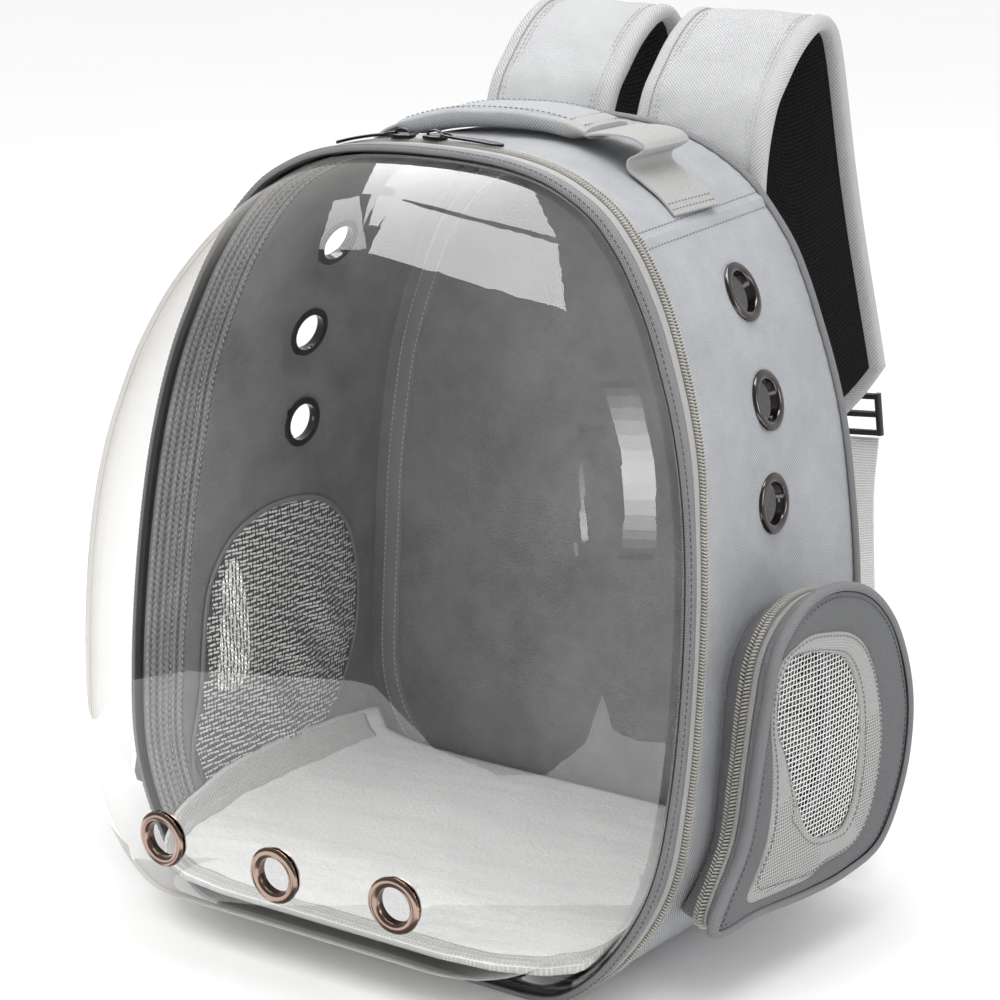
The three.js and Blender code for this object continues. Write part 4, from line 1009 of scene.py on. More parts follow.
def dome_point(L, s, off=0.0):
    """L [n, 2] outline, s a list: points [n][len(s)]."""
    s = np.atleast_1d(s)[None]
    x, z = L[:, :1], L[:, 1:]
    foot = DOME["footZ"] - 13 * (np.maximum(0, s - 0.955) / 0.045) ** 1.6
    zz = np.where(z < DOME["midZ"], DOME["midZ"] - (DOME["midZ"] - z) * (DOME["midZ"] - foot) / (DOME["midZ"] - DOME["inset"]), z)
    zs = DOME["midZ"] + s * (zz - DOME["midZ"])
    h = (DOME["depth"] - off) * (1 - s ** DOME["power"]) ** (1 / 1.2) + 0 * zs
    fall = 1 + DOME["tip"] * (zs - 196) / 196
    return np.stack([s * x + 0 * zs, Y0 + LEAN * zs - h * fall + DOME["set"], zs + DOME["drop"] * h / DOME["depth"]], 2)


DS = np.concatenate([1 - np.linspace(0, 1, 40) ** 1.8 * 0.30, np.linspace(0.70, 0.03, 36)[1:]])
DC = np.arange(0, M, 2)
lo, li = dome_loop()[DC], dome_loop(2.0)[DC]
fo, fi = shell(rim_depth(2.0), 3.7)[DC], shell(rim_depth(4.0), 3.7)[DC]
D_out = np.concatenate([fo, dome_point(lo, DS)], 1)
D_in = np.concatenate([fi, dome_point(li, DS, 2.0)], 1)
D_in[:, 1, 1] += 2.0
D_keep = np.ones((len(DC), D_out.shape[1] - 1), bool)
_flatd = D_out[:, 1:].reshape(-1, 3)


def dome_at(x, z):
    d = np.hypot(_flatd[:, 0] - x, _flatd[:, 2] - z) + np.where(_flatd[:, 1] > -120, 50, 0)
    k = np.argsort(d)[:4]
    w = 1 / (d[k] + 1e-3)
    return np.array([x, (_flatd[k, 1] * w).sum() / w.sum(), z])


def dome_normal(x, z):
    n = unit(np.cross(dome_at(x + 9, z) - dome_at(x - 9, z), dome_at(x, z + 9) - dome_at(x, z - 9)))
    return -n if n[1] > 0 else n


BUBBLE_AT = [(dome_at(x, z), dome_normal(x, z), name) for x, z, name in BUBBLE_EYELETS]
for at, n, _ in BUBBLE_AT:
    punch(D_out, D_in, D_keep, at, n, 10.6, cell=1.4, ring=True)
p = sheet(D_out, D_in, None, D_keep, ringI=True, centre=True)
dome_ob = build("bubble_dome_sheet", **p, mats=[MAT["bubble"], MAT["bubble_in"], MAT["bubble_edge"]], slot="clear_bubble", replaces="bubble_dome", sharp=50)


# ---------------------------------------------------------------- eyelets: a rolled ring with its washer behind
def eyelet(outer, hole, proud, front, back):
    f = front + 0.1
    a = np.linspace(0, PI, 9)
    mid, half_w = (hole + outer) / 2, (outer - hole) / 2
    ring = [[mid - half_w * math.cos(t), f + 0.2 + (proud - 0.2) * math.sin(t) ** 0.8] for t in a]
    ring = [[hole, -back - 0.8]] + ring + [[outer, f], [hole + 1.7, f], [hole + 1.7, -back], [outer - 1.4, -back], [outer - 1.2, -back - 0.6], [outer - 2.2, -back - 1.1], [hole + 0.8, -back - 1.1]]
    return lathe(ring, 56)


for at, n, name in BUBBLE_AT:
    build(f"bubble_eyelet_{name}_ring", **placed(eyelet(14, 9.0, 1.5, 0.3, 2.6), at, n), mats=MAT["copper"], slot="bubble_eyelet_metal", replaces=f"bubble_eyelet_{name}")
for at, n, name in EYELET_AT:
    r = placed(eyelet(15, 10.1, 1.9, 0.2, 2.6), at, n)
    for side, q in (("right", r), ("left", mirror(r))):
        build(f"{side}_eyelet_{name}_ring", **q, mats=MAT["nickel"], slot="side_eyelet_metal", replaces=f"{side}_eyelet_{name}")


# ---------------------------------------------------------------- side doors
def loops_to_grid(loops):
    return np.stack(loops, 1)


gf, ge = push(foot_loop, 1.6), push(out_loop, -1.5)


def gusset_at(t, proud):
    return betw(gf, ge, t, proud)


def gusset_proud(t):
    return 1.0 * (1 - (2 * t - 1) ** 2)


def radial(loop, t, other):
    return loop + (other - loop) * t


door = {}
ts = np.concatenate([np.linspace(0, 0.33, 12), np.linspace(0.35, 0.6, 6), np.linspace(0.62, 0.735, 5), [0.745, 0.752, 0.762, 0.77], np.linspace(0.78, 1.0, 8)])
prof = np.array([gusset_proud(t) + (0.35 * math.sin(PI * t / 0.33) if t <= 0.33 else -0.2 if t <= 0.6 else 0.25 if t < 0.74 else -0.9 if t < 0.775 else 0.3) for t in ts])
G1 = loops_to_grid([gusset_at(t, q) for t, q in zip(ts, prof)])
G1 += np.zeros_like(G1)
G1[..., 1:] += (0.4 * np.sin(np.arange(PN)[:, None] * 0.55 + 1.3 * np.sin(np.arange(PN)[:, None] * 0.13)) * np.sin(PI * np.clip(ts / 0.33, 0, 1))[None])[..., None] * 0.6
G2 = loops_to_grid([inby(gusset_at(t, gusset_proud(t)), 2.2) for t in ts])
p = sheet(G1, G2, grid_uv(G1, True)[..., ::1], ringI=True)
tm = (ts[:-1] + ts[1:]) / 2
# painted shade: the strip under the coil and the groove at t 0.742 to 0.778 take the near-black rim cloth
tag = np.where(tm < 0.34, 0, np.where(tm < 0.61, 2, np.where(tm < 0.742, 1, np.where(tm < 0.778, 2, 0))))
nq = PN * (len(ts) - 1)
p["idx"][:nq] = np.tile(tag, PN)
p["idx"][nq:2 * nq] = 3
gus = p
door["door_gusset"] = (p, [MAT["herring"], MAT["tape"], MAT["rim_dark"], MAT["lining"]], "shell_fabric")

bed = [(0.335, 1.2), (0.355, 1.9), (0.41, 2.3), (0.475, 1.6), (0.54, 2.3), (0.595, 1.9), (0.615, 1.2)]
B1 = loops_to_grid([betw(gf, ge, t, q) for t, q in bed])
B2 = loops_to_grid([betw(gf, ge, t, 1.2) - 0 for t, _ in bed])
p = sheet(B1, B2, grid_uv(B1, True), ringI=True)
p = tagged(p, 0)
rows = [p]
for t, side, shift in ((0.405, 1, 0.0), (0.545, -1, 0.5)):
    P = betw(gf, ge, t, 2.2)
    Nn = unit(betw(gf, ge, t, 6) - betw(gf, ge, t, 0))
    rows.append(tagged(teeth(P, Nn, side, 1.75, 4.1, 1.3, 1.5, 0.45, shift=shift), 1))
door["door_zip_coil"] = (merged(rows), [MAT["coil_bed"], MAT["coil"]], "zip_teeth")


def face(L, dx=0.0):
    q = np.array(L)
    q[:, 0] = pod_x(L[:, 1], L[:, 2]) + dx
    return q


rim_l, win_l = face(inby(out_loop, 3.0)), face(inby(FRAME, 2.0))
rs = np.linspace(0, 1, 16)
puff = lambda t: 1.2 * math.sin(PI * min(1, t * 1.0)) ** 0.8
G1 = loops_to_grid([face(rim_l + (win_l - rim_l) * t, puff(t)) for t in rs])
G1[..., 0] += 0.35 * ripple(G1, 38, 3) * np.sin(PI * rs)[None]
G2 = loops_to_grid([face(rim_l + (win_l - rim_l) * t, -1.7) for t in rs])
uvf = np.stack([G1[..., 1], G1[..., 2]], 2)
p = sheet(G1, G2, np.concatenate([uvf, uvf[:1]]), ringI=True)
P = face(inby(out_loop, 5.2), 0.55)
st = tagged(stitch_line(P, np.tile([1.0, -0.09, -0.06], (PN, 1)), 3.2, 2.3, 0.6, 0.3, closed=True), 2)
door["door_panel"] = (merged([p, st]), [MAT["door"], MAT["lining"], MAT["stitch_dark"]], "door_fabric")

pip = [(-0.6, -3.9), (-1.3, -3.2), (-1.8, -2.0), (-1.9, -0.7), (-1.6, 0.5), (-0.8, 1.4), (0.3, 1.75), (1.4, 1.6), (2.2, 1.0), (2.5, 0.3), (1.6, 0.0), (0.6, -0.3), (0.3, -2.0), (0.1, -3.7)]
G = loops_to_grid([push(inby(out_loop, a), b) for a, b in pip])
door["door_binding"] = (tagged(swept(G, True), 0), [MAT["rim_grey"]], "edge_binding")

fr = [(0.0, -0.2), (0.02, 0.9), (0.1, 1.75), (0.28, 2.2), (0.5, 2.35), (0.72, 2.3), (0.9, 2.0), (0.985, 1.3), (1.0, 0.2)]
G1 = loops_to_grid([face(FRAME + (WINDOW - FRAME) * t, d) for t, d in fr])
G2 = loops_to_grid([face(FRAME + (WINDOW - FRAME) * (0.03 + 0.94 * t), -0.3 + 0.1 * math.sin(PI * t)) for t, d in fr])
p = sheet(G1, G2, grid_uv(G1, True), ringI=True)
p = tagged(p, 0)
wide = np.linalg.norm(FRAME - WINDOW, axis=1) > 19
tmid = np.array([(a[0] + b[0]) / 2 for a, b in zip(fr[:-1], fr[1:])])
p["idx"][:PN * (len(fr) - 1)] = np.where(np.repeat(wide, len(fr) - 1) & np.tile((tmid > 0.15) & (tmid < 0.85), PN), 2, 0)
sts = [tagged(stitch_line(face(FRAME + (WINDOW - FRAME) * t, 2.3), np.tile([1.0, -0.09, -0.06], (PN, 1)), 3.0, 2.1, 0.6, 0.28, closed=True), 1) for t in (0.16, 0.84)]
door["door_mesh_frame"] = (merged([p] + sts), [MAT["frame"], MAT["stitch_grey"], MAT["fine_net"]], "mesh_frame")


def net(poly, pitch, across, thick):
    """An open net of flat strands inside the polygon (y, z), on the window's crowned face."""
    cy, cz = MID
    def face_x(y, z):
        r = np.clip(np.hypot((y - cy) / 42, (z - cz) / 58), 0, 1)
        return pod_x(y, z) + 2.6 * (1 - r * r) - 1.2
    V, Q, n = [], [], 0
    lo_, hi_ = poly.min(0), poly.max(0)
    for ax in (0, 1):
        for c0 in np.arange(math.floor(lo_[ax] / pitch) * pitch, hi_[ax], pitch):
            s = np.arange(lo_[1 - ax], hi_[1 - ax] + pitch, pitch)
            pts = np.zeros((len(s), 2))
            pts[:, ax], pts[:, 1 - ax] = c0, s
            ok = inside(pts, poly)
            k = np.where(ok)[0]
            if len(k) < 2:
                continue
            for run in np.split(k, np.where(np.diff(k) > 1)[0] + 1):
                if len(run) < 2:
                    continue
                q = pts[run]
                sgn = (-1.0) ** (np.round(c0 / pitch) + run + ax)
                x = face_x(q[:, 0], q[:, 1]) + 0.16 * sgn
                e = np.zeros(3)
                e[1 + ax] = 1
                C = np.stack([x, q[:, 0], q[:, 1]], 1)
                G = np.stack([C - e * across / 2, C + [thick / 2, 0, 0], C + e * across / 2, C - [thick / 2, 0, 0]], 1)
                sw = swept(G)
                V.append(sw["V"])
                Q.append((sw["quads"] + n, sw["tris"] + n))
                n += len(sw["V"])
    return dict(V=np.concatenate(V), quads=np.concatenate([q for q, _ in Q]), tris=np.concatenate([t for _, t in Q]))


win_poly = (WINDOW + (FRAME - WINDOW) * 0.4)[::3, 1:]
nt = net(win_poly, 2.6, 0.6, 0.42)
nt["uv"] = np.zeros((len(nt["quads"]) * 4 + len(nt["tris"]) * 3, 2))
door["door_mesh"] = (nt, [MAT["net"]], "window_mesh")
foot_poly = inby(foot_loop, -5.0)[::3, 1:]


def inner_net(poly, pitch, across, thick):
    """A loose net hung over the doorway on the inside, with soft folds at its lower back corner."""
    V, Q, T, n = [], [], [], 0
    lo_, hi_ = poly.min(0), poly.max(0)
    yy = np.linspace(lo_[0], hi_[0], 24)
    zz = np.linspace(lo_[1], hi_[1], 24)
    hw = np.array([[half_width(y - Y0, z) for z in zz] for y in yy])

    def at(y, z):
        fy, fz = np.clip((y - yy[0]) / (yy[1] - yy[0]), 0, 22.99), np.clip((z - zz[0]) / (zz[1] - zz[0]), 0, 22.99)
        a, b = fy.astype(int), fz.astype(int)
        u, v = fy - a, fz - b
        w_ = hw[a, b] * (1 - u) * (1 - v) + hw[a + 1, b] * u * (1 - v) + hw[a, b + 1] * (1 - u) * v + hw[a + 1, b + 1] * u * v
        cy, cz = (lo_ + hi_) / 2
        r = np.clip(np.hypot((y - cy) / (hi_[0] - lo_[0]), (z - cz) / (hi_[1] - lo_[1])) * 2, 0, 1)
        fold = smooth(0.1, 0.9, (y - cy) / 70 - (z - cz) / 90 + 0.35)
        bulge = 3.0 * (1 - r ** 2) + fold * (1 - r ** 3) * (2.2 + 1.9 * np.sin((y * 0.75 + z * 0.5) / 4.6 + 0.7 * np.sin(z / 15)))
        return w_ - INNER - 0.9 - np.maximum(bulge, 0)

    for ax in (0, 1):
        for c0 in np.arange(lo_[ax] + pitch / 2, hi_[ax], pitch):
            s_ = np.arange(lo_[1 - ax], hi_[1 - ax] + pitch, pitch * 1.8)
            pts = np.zeros((len(s_), 2))
            pts[:, ax], pts[:, 1 - ax] = c0, s_
            k = np.where(inside(pts, poly))[0]
            if len(k) < 3:
                continue
            q = pts[k[0]:k[-1] + 1]
            wob = 0.35 * np.sin(q[:, 1 - ax] / 3.1 + c0)
            q = np.array(q)
            q[:, ax] += wob
            C = np.stack([at(q[:, 0], q[:, 1]) + 0.2 * (-1.0) ** (np.arange(len(q)) + round(c0 / pitch) + ax), q[:, 0], q[:, 1]], 1)
            e = np.zeros(3)
            e[1 + ax] = 1
            sw = swept(np.stack([C - e * across / 2, C + [thick / 2, 0, 0], C + e * across / 2, C - [thick / 2, 0, 0]], 1))
            V.append(sw["V"]); Q.append(sw["quads"] + n); T.append(sw["tris"] + n)
            n += len(sw["V"])
    p_ = dict(V=np.concatenate(V), quads=np.concatenate(Q), tris=np.concatenate(T))
    p_["uv"] = np.zeros((len(p_["quads"]) * 4 + len(p_["tris"]) * 3, 2))
    return p_


inn = inner_net(foot_poly, 2.45, 1.3, 0.5)
hem_c = inby(foot_loop, -5.5)
hem_c[:, 0] -= INNER + 1.3
hem = tagged(tube(hem_c, np.tile([1.0, 0, 0], (PN, 1)), unit(np.roll(np.cross(np.roll(hem_c, -1, 0) - np.roll(hem_c, 1, 0), [1.0, 0, 0]), 0, 0)), 0.5, 1.6, 10, True), 1)
inn = tagged(inn, 0)
# painted shade: strand faces that point outwards, towards the door's own net, take the near-black shaded strand cloth
q4 = inn["V"][inn["quads"]]
nx = np.cross(q4[:, 2] - q4[:, 0], q4[:, 3] - q4[:, 1])
nx = nx[:, 0] * np.sign(((q4.mean(1) - q4.mean((0, 1))) * nx).sum())
inn["idx"][:len(nx)] = np.where(nx > 0, 2, 0)
inn["uv"] = np.zeros((len(inn["quads"]) * 4 + len(inn["tris"]) * 3, 2))
inn = merged([inn, hem])
for side, q in (("right", inn), ("left", mirror(inn))):
    build(f"{side}_door_inner_net", **q, mats=[MAT["net"], MAT["lining_tape"], MAT["net_painted_shade"]], slot="window_mesh")
for name, (p, mats, slot) in door.items():
    for side, q in (("right", p), ("left", mirror(p))):
        build(f"{side}_{name}_soft", **q, mats=mats, slot=slot, replaces=f"{side}_{name}")

# ---------------------------------------------------------------- mat
MAT_TOP = 26.0
MAT_ROWS = np.array([[-33, 66, 26.6], [-29, 94, 26.2], [-19, 116, 25.6], [-3, 130, 25], [13, 136, 25], [24, 138, 0], [60, 142.5, 0], [110, 144, 0], [160, 144, 0], [197, 143, 0]], float)
mr = np.concatenate([np.stack([np.interp(np.linspace(0, 5, 27), np.arange(6), MAT_ROWS[:6, c]) for c in range(3)], 1), np.stack([np.interp(np.linspace(5, 9, 44)[1:], np.arange(10), MAT_ROWS[:, c]) for c in range(3)], 1)])
mr[:, 2] = np.where(mr[:, 0] < 23.9, np.maximum(mr[:, 2], 25.0), 0)
mf = np.concatenate([np.linspace(-1, -0.8, 10), np.linspace(-0.8, 0.8, 40)[1:-1], np.linspace(0.8, 1, 10)])
top, bot = np.zeros((len(mr), len(mf), 3)), np.zeros((len(mr), len(mf), 3))
for k, (y, w, least) in enumerate(mr):
    Pz = shell(np.full((M, 1), max(y, 12.0)), INNER)[:, 0]
    q = np.where((ROW > 2.6) & (ROW < 20))[0]
    zc = np.arange(5, 60.5, 0.25)
    wz = np.interp(zc, Pz[q, 2], Pz[q, 0])
    for j, f in enumerate(mf):
        ok = np.where(wz >= abs(f * w) + 1.2)[0]
        zb = max((zc[ok[0]] if len(ok) else 60) + 0.4, least)
        zt = max(MAT_TOP + 4.5 * float(1 - smooth(14, 80, y)) + 8 * float(smooth(0, 70, y)) * abs(f) ** 8, zb + 3)
        top[k, j], bot[k, j] = (f * w, y + Y0, zt), (f * w, y + Y0, zb)
ee = smooth(0, 0.08, 1 - np.abs(mf))[None] * smooth(0, 6, mr[:, 0] + 33)[:, None]
ee = ee * smooth(0, 8, 197 - mr[:, 0])[:, None]
top[..., 2] += (0.9 * ripple(top, 60, 2) + 0.5 * ripple(top, 21, 5) + 0.25 * ripple(top, 8, 7)) * ee - 1.4 * (1 - ee) * (top[..., 2] - bot[..., 2] > 3.5)
uvm = np.stack([top[..., 0], top[..., 1]], 2)
p = sheet(top, bot, uvm)
k = np.arange(len(mr) - 5, -1, -1)
edge_l = np.stack([-mr[k, 1], mr[k, 0]], 1)
E2, _ = cr(resample(np.concatenate([edge_l, edge_l[::-1] * [-1, 1]])[:, [0, 1, 1]], 90)[:, :2], False, 2)
t2 = np.gradient(E2, axis=0)
t2 /= np.linalg.norm(t2, axis=1)[:, None]
n2 = np.stack([-t2[:, 1], t2[:, 0]], 1)
n2 *= np.sign((n2 * (np.array([0, 60.0]) - E2)).sum(1))[:, None]
bands = np.array([1.0, 1.6, 3.2, 4.8, 5.4, 6.0, 7.6, 9.2, 9.8])
lift = np.array([0.1, 0.9, 1.2, 0.9, 0.35, 0.9, 1.2, 0.9, 0.1])
P2 = E2[:, None] + n2[:, None] * bands[None, :, None]
kf = np.clip(np.interp(P2[..., 1], mr[:, 0], np.arange(len(mr))), 0, len(mr) - 1.001)
jf = np.clip(np.interp(P2[..., 0] / np.interp(P2[..., 1], mr[:, 0], mr[:, 1]), mf, np.arange(len(mf))), 0, len(mf) - 1.001)
a, b = kf.astype(int), jf.astype(int)
u_, v_ = kf - a, jf - b
zt = top[a, b, 2] * (1 - u_) * (1 - v_) + top[a + 1, b, 2] * u_ * (1 - v_) + top[a, b + 1, 2] * (1 - u_) * v_ + top[a + 1, b + 1, 2] * u_ * v_
T1 = np.stack([P2[..., 0], P2[..., 1] + Y0, zt + lift[None]], 2)
trim = tagged(sheet(T1, T1 - [0, 0, 1.0], grid_uv(T1)), 1)
p = merged([p, trim])
ob = build("floor_mat_pad", **p, mats=[MAT["plush"], MAT["trim"], MAT["trim"]], slot="mat_plush", replaces="floor_mat", sharp=0)

# ---------------------------------------------------------------- handle
GY, GW = 131.0, 38.0
GROWS = np.array([[-62, 394.8, 6.7], [-52, 398, 7.7], [-38, 401.8, 8.2], [-20, 404.4, 8.2], [0, 405.4, 8.2], [20, 405.2, 8.2], [34, 403.6, 8.2], [44, 401.4, 7.7], [50, 399.4, 7.2]], float)
gr, _ = cr(GROWS, False, 9)
th = np.linspace(0, 2 * PI, 44, endpoint=False)
G = np.zeros((len(gr), len(th), 3))
for k, (x, tz, thick) in enumerate(gr):
    cc, ss = np.cos(th), np.sin(th)
    fy = np.sign(cc) * np.abs(cc) ** 0.62
    fz = np.sign(ss) * np.abs(ss) ** 0.8
    G[k] = np.stack([0 * th + x, Y0 + GY + fy * GW / 2, tz - thick / 2 + fz * thick / 2 * 0.98 - 0.6 * (fz > 0) * fz + 4.0 * (fz < 0) * fz * float(smooth(-63, -52, x) * (1 - smooth(36, 49, x)))], 1)
G[..., 2] += 0.25 * np.sin(G[..., 0] / 5.5 + 0.6 * np.sin(G[..., 1] / 6)) * (G[..., 2] > 399)
p = tagged(swept(G), 0)
c = np.array([p["V"][q].mean(0) for q in p["quads"]])
p["idx"][:len(c)] = np.where(c[:, 0] > 37.5, 1, 0)
sts = []
for fy in (-0.8, 0.8):
    P = np.array([[x, Y0 + GY + fy * GW / 2, np.interp(x, gr[:, 0], gr[:, 1]) - 0.95] for x in np.linspace(-58, 36, 40)])
    sts.append(tagged(stitch_line(P, np.tile([0, fy * 0.3, 1.0], (40, 1)), 3.2, 2.3, 0.6, 0.3), 2))
for x in (39.5, 47.5):
    ys = np.linspace(-0.78, 0.78, 14) * GW / 2
    P = np.array([[x, Y0 + GY + y, np.interp(x, gr[:, 0], gr[:, 1]) - 0.75] for y in ys])
    sts.append(tagged(stitch_line(P, np.tile([0, 0, 1.0], (14, 1)), 3.0, 2.1, 0.6, 0.3), 2))
ob = build("handle_grip_pad", **merged([p] + sts), mats=[MAT["grip"], MAT["tape"], MAT["stitch_grey"]], slot="grip_fabric", replaces="handle_grip", sharp=60)
down_shoulder = [[half_width(GY, z) + 1.8, z + 2] for z in (374, 367, 359.5)]
WEBS = dict(
    right=[[50.6, 395.4], [60, 396.6], [72, 396.6], [80, 395], [84, 391.8], [80.4, 388.6], [75, 385.6], [75, 381.4]] + down_shoulder,
    left=[[62.6, 391], [69, 388.2], [75, 383.8]] + down_shoulder)
for side, rows in WEBS.items():
    C, _ = cr(np.array(rows), False, 14)
    C = resample(C, step=1.6)
    T = unit(np.gradient(C, axis=0))
    ac = np.linspace(-20, 20, 13)
    tilt = np.zeros(len(C))
    if side == "right":
        L_ = arc(C)
        tilt = 0.0 * L_
    O, I2 = np.zeros((len(C), 13, 3)), np.zeros((len(C), 13, 3))
    for j, a in enumerate(ac):
        edge = 0.8 * (1 - 0.35 * (abs(a) / 20) ** 8)
        O[:, j] = np.stack([C[:, 0] + T[:, 1] * -0.0 - T[:, 1] * -edge * 1.0, np.full(len(C), Y0 + GY + a), C[:, 1] - T[:, 0] * -edge * -1.0 * -1.0], 1)
        O[:, j] = np.stack([C[:, 0] - T[:, 1] * edge, np.full(len(C), Y0 + GY + a), C[:, 1] + T[:, 0] * edge], 1)
        I2[:, j] = np.stack([C[:, 0] + T[:, 1] * edge, np.full(len(C), Y0 + GY + a), C[:, 1] - T[:, 0] * edge], 1)
    p = tagged(sheet(O, I2, grid_uv(O)), 0)
    sts = []
    for back in (3.0, 6.5):
        L_ = arc(C)
        at = np.array([np.interp(L_[-1] - back, L_, C[:, q]) for q in (0, 1)])
        t = np.array([np.interp(L_[-1] - back, L_, T[:, q]) for q in (0, 1)])
        n = np.array([-t[1], 0, t[0]])
        n = n if n[0] + n[2] > 0 else -n
        ys = np.linspace(-18, 18, 14)
        P = np.array([[at[0], Y0 + GY + y, at[1]] for y in ys]) + n * 0.85
        sts.append(tagged(stitch_line(P, np.tile(n, (14, 1)), 3.0, 2.1, 0.65, 0.3), 1))
    p = merged([p] + sts)
    build(f"{side}_handle_webbing_strip", **(p if side == "right" else mirror(p)), mats=[MAT["webbing_h"], MAT["stitch_grey"]], slot="webbing", replaces=f"{side}_handle_webbing")

# ---------------------------------------------------------------- shoulder straps
STRAP = dict(width=79.0, middle=47.5, thick=7.0, edge=6.5, taper=38.0)
SP = np.array([[218, 345], [219, 366], [222.5, 384], [230, 402], [240, 413.5], [251, 424.5], [263, 433], [276, 438.5], [288, 438.5], [297, 432], [303, 420],
               [308, 405], [317, 374], [328, 336], [340, 291], [347.5, 256], [351, 228], [352, 206]], float)
sp, _ = cr(SP, False, 40)
SL = arc(sp)[-1]
sp = resample(sp, 500)
st_t = unit(np.gradient(sp, axis=0))


def on_strap(dx, s, down):
    dx, s, down = np.broadcast_arrays(np.asarray(dx, float), np.clip(s, 0, 1), down)
    k = s * 499
    y, z = np.interp(k, np.arange(500), sp[:, 0]), np.interp(k, np.arange(500), sp[:, 1])
    ty, tz = np.interp(k, np.arange(500), st_t[:, 0]), np.interp(k, np.arange(500), st_t[:, 1])
    sway = 14 * (np.maximum(0, s - 0.55) / 0.45) ** 2
    return np.stack([STRAP["middle"] + sway + dx, Y0 + y + tz * down, z - ty * down], -1)


def strap_end(dx, back=0.0):
    return 1 - (back + STRAP["taper"] * (np.abs(dx) / (STRAP["width"] / 2)) ** 1.3) / SL


W = STRAP["width"] / 2
wi = W - STRAP["edge"]
w = wi - GAP
back = STRAP["edge"] * 1.25
ss = np.linspace(0, 1, 150)
ff = np.linspace(-1, 1, 25)


def strap_rows(half_, off_back, down):
    dx = ff[None] * half_
    return on_strap(dx, ss[:, None] * strap_end(dx, off_back), down)


crown = 0.9 * np.abs(ff) ** 5 - 0.7 * (1 - ff ** 2)
G1 = strap_rows(w, back + 4 * GAP, np.broadcast_to(crown, (150, 25)))
wr = 0.5 * ripple(G1, 34, 3) + 0.25 * ripple(G1, 15, 6)
G1 = strap_rows(w, back + 4 * GAP, crown[None] + wr * smooth(0, 0.2, 1 - np.abs(ff))[None] * smooth(0, 0.03, ss)[:, None] * smooth(0, 0.03, 1 - ss)[:, None])
G2 = strap_rows(w, back + 4 * GAP, np.full((150, 25), STRAP["thick"] - 2.0))
pad = tagged(sheet(G1, G2, grid_uv(G1)), 0)
sts = []
for dx in (-(wi - 4.2), -(wi - 6.4), wi - 4.2, wi - 6.4):
    s1 = np.linspace(0.012, 0.99, 160) * strap_end(dx, back + 3)
    P, Q = on_strap(dx, s1, crown[2] - 0.25), on_strap(dx, s1, -6)
    sts.append(tagged(stitch_line(P, unit(Q - P), 3.1, 2.2, 0.55, 0.3), 1))
strap = {"shoulder_strap": (merged([pad] + sts), [MAT["strap"], MAT["stitch_light"]], "strap_fabric")}
G1 = strap_rows(w, back + 4 * GAP, np.full((150, 25), STRAP["thick"] - 1.7))
G2 = strap_rows(w, back + 4 * GAP, STRAP["thick"] + 0.5 * (1 - ff[None] ** 4) + 0 * ss[:, None])
strap["strap_lining"] = (tagged(sheet(G2, G1, grid_uv(G2)), 0), [MAT["air_mesh"]], "strap_mesh")
share = np.linspace(0, 1, 120)
f3 = np.linspace(-1, 1, 40)[1:-1]


def edge_line(half_, behind):
    a = np.concatenate([np.full(120, -half_), f3 * half_, np.full(120, half_)])
    s_ = np.concatenate([share * strap_end(half_, behind), strap_end(f3 * half_, behind), share[::-1] * strap_end(half_, behind)])
    return a, s_


(oa, os_), (ia, is_) = edge_line(W, 0), edge_line(wi - 1.0, back + 1.0)
sec = [(0.0, -0.35), (0.18, -0.75), (0.45, -0.7), (0.72, -0.25), (0.92, 0.9), (1.0, 2.6), (1.0, 4.6), (0.93, 6.2), (0.75, 7.3), (0.45, 7.7), (0.15, 7.7), (0.0, 7.3)]
G = np.stack([on_strap(ia + (oa - ia) * q, is_ + (os_ - is_) * q, d) for q, d in sec], 1)
bind = tagged(swept(G), 0)
strap["strap_binding"] = (bind, [MAT["strap_tape"]], "strap_binding")
low, _ = cr(np.array([[73.5, 359, 198.5], [77, 348, 170], [88, 329, 138], [106, 298, 106], [128, 258, 70], [145, 225, 43], [149, 216.6, 28]], float) + [0, Y0, 0], False, 14)
low = resample(low, 90)
T = unit(np.gradient(low, axis=0))
sd = unit(np.array([1, 0.12, 0]) - T * (T @ np.array([1, 0.12, 0]))[:, None])
nn = np.cross(sd, T)
aw = np.linspace(-12.5, 12.5, 9)
G1 = low[:, None] + sd[:, None] * aw[None, :, None]
strap["lower_webbing"] = (tagged(sheet(G1, G1 + nn[:, None] * 1.8, grid_uv(G1)), 0), [MAT["webbing"]], "webbing")
for name, (p, mats, slot) in strap.items():
    for side, q in (("right", p), ("left", mirror(p))):
        ob = build(f"{side}_{name}_soft", **q, mats=mats, slot=slot, replaces=f"{side}_{name}")

# ---------------------------------------------------------------- zip sliders with their bails and pulls
zl, zn = on_rim(19.2, 1.6)
top_k = np.where((ROW > 20) & (ROW < 30))[0]
top_k = top_k[np.argsort(zl[top_k, 0])]


def on_top(x, up=0.0, back=0.0):
    p_ = np.array([np.interp(x, zl[top_k, 0], zl[top_k, c]) for c in range(3)])
    n_ = unit(np.array([np.interp(x, zl[top_k, 0], zn[top_k, c]) for c in range(3)]))
    return p_ + n_ * up + np.array([0, back, 0])


def strip(pts, half_y, half_z):
    """A flat bar with rounded corners along points, as wide as half_y says in the Y direction."""
    pts = np.array(pts)
    t = unit(np.gradient(pts, axis=0))
    up = unit(np.cross(t, [0, 1.0, 0]))
    up = up * np.sign(up[:, 2:3])
    a = np.linspace(0, 2 * PI, 16, endpoint=False)
    cy, cz = np.sign(np.cos(a)) * np.abs(np.cos(a)) ** 0.5, np.sign(np.sin(a)) * np.abs(np.sin(a)) ** 0.5
    half_y, half_z = np.broadcast_to(half_y, len(pts)), np.broadcast_to(half_z, len(pts))
    return tagged(swept(pts[:, None] + np.array([0, 1.0, 0]) * (cy[None] * half_y[:, None])[..., None] + up[:, None] * (cz[None] * half_z[:, None])[..., None]), 0)


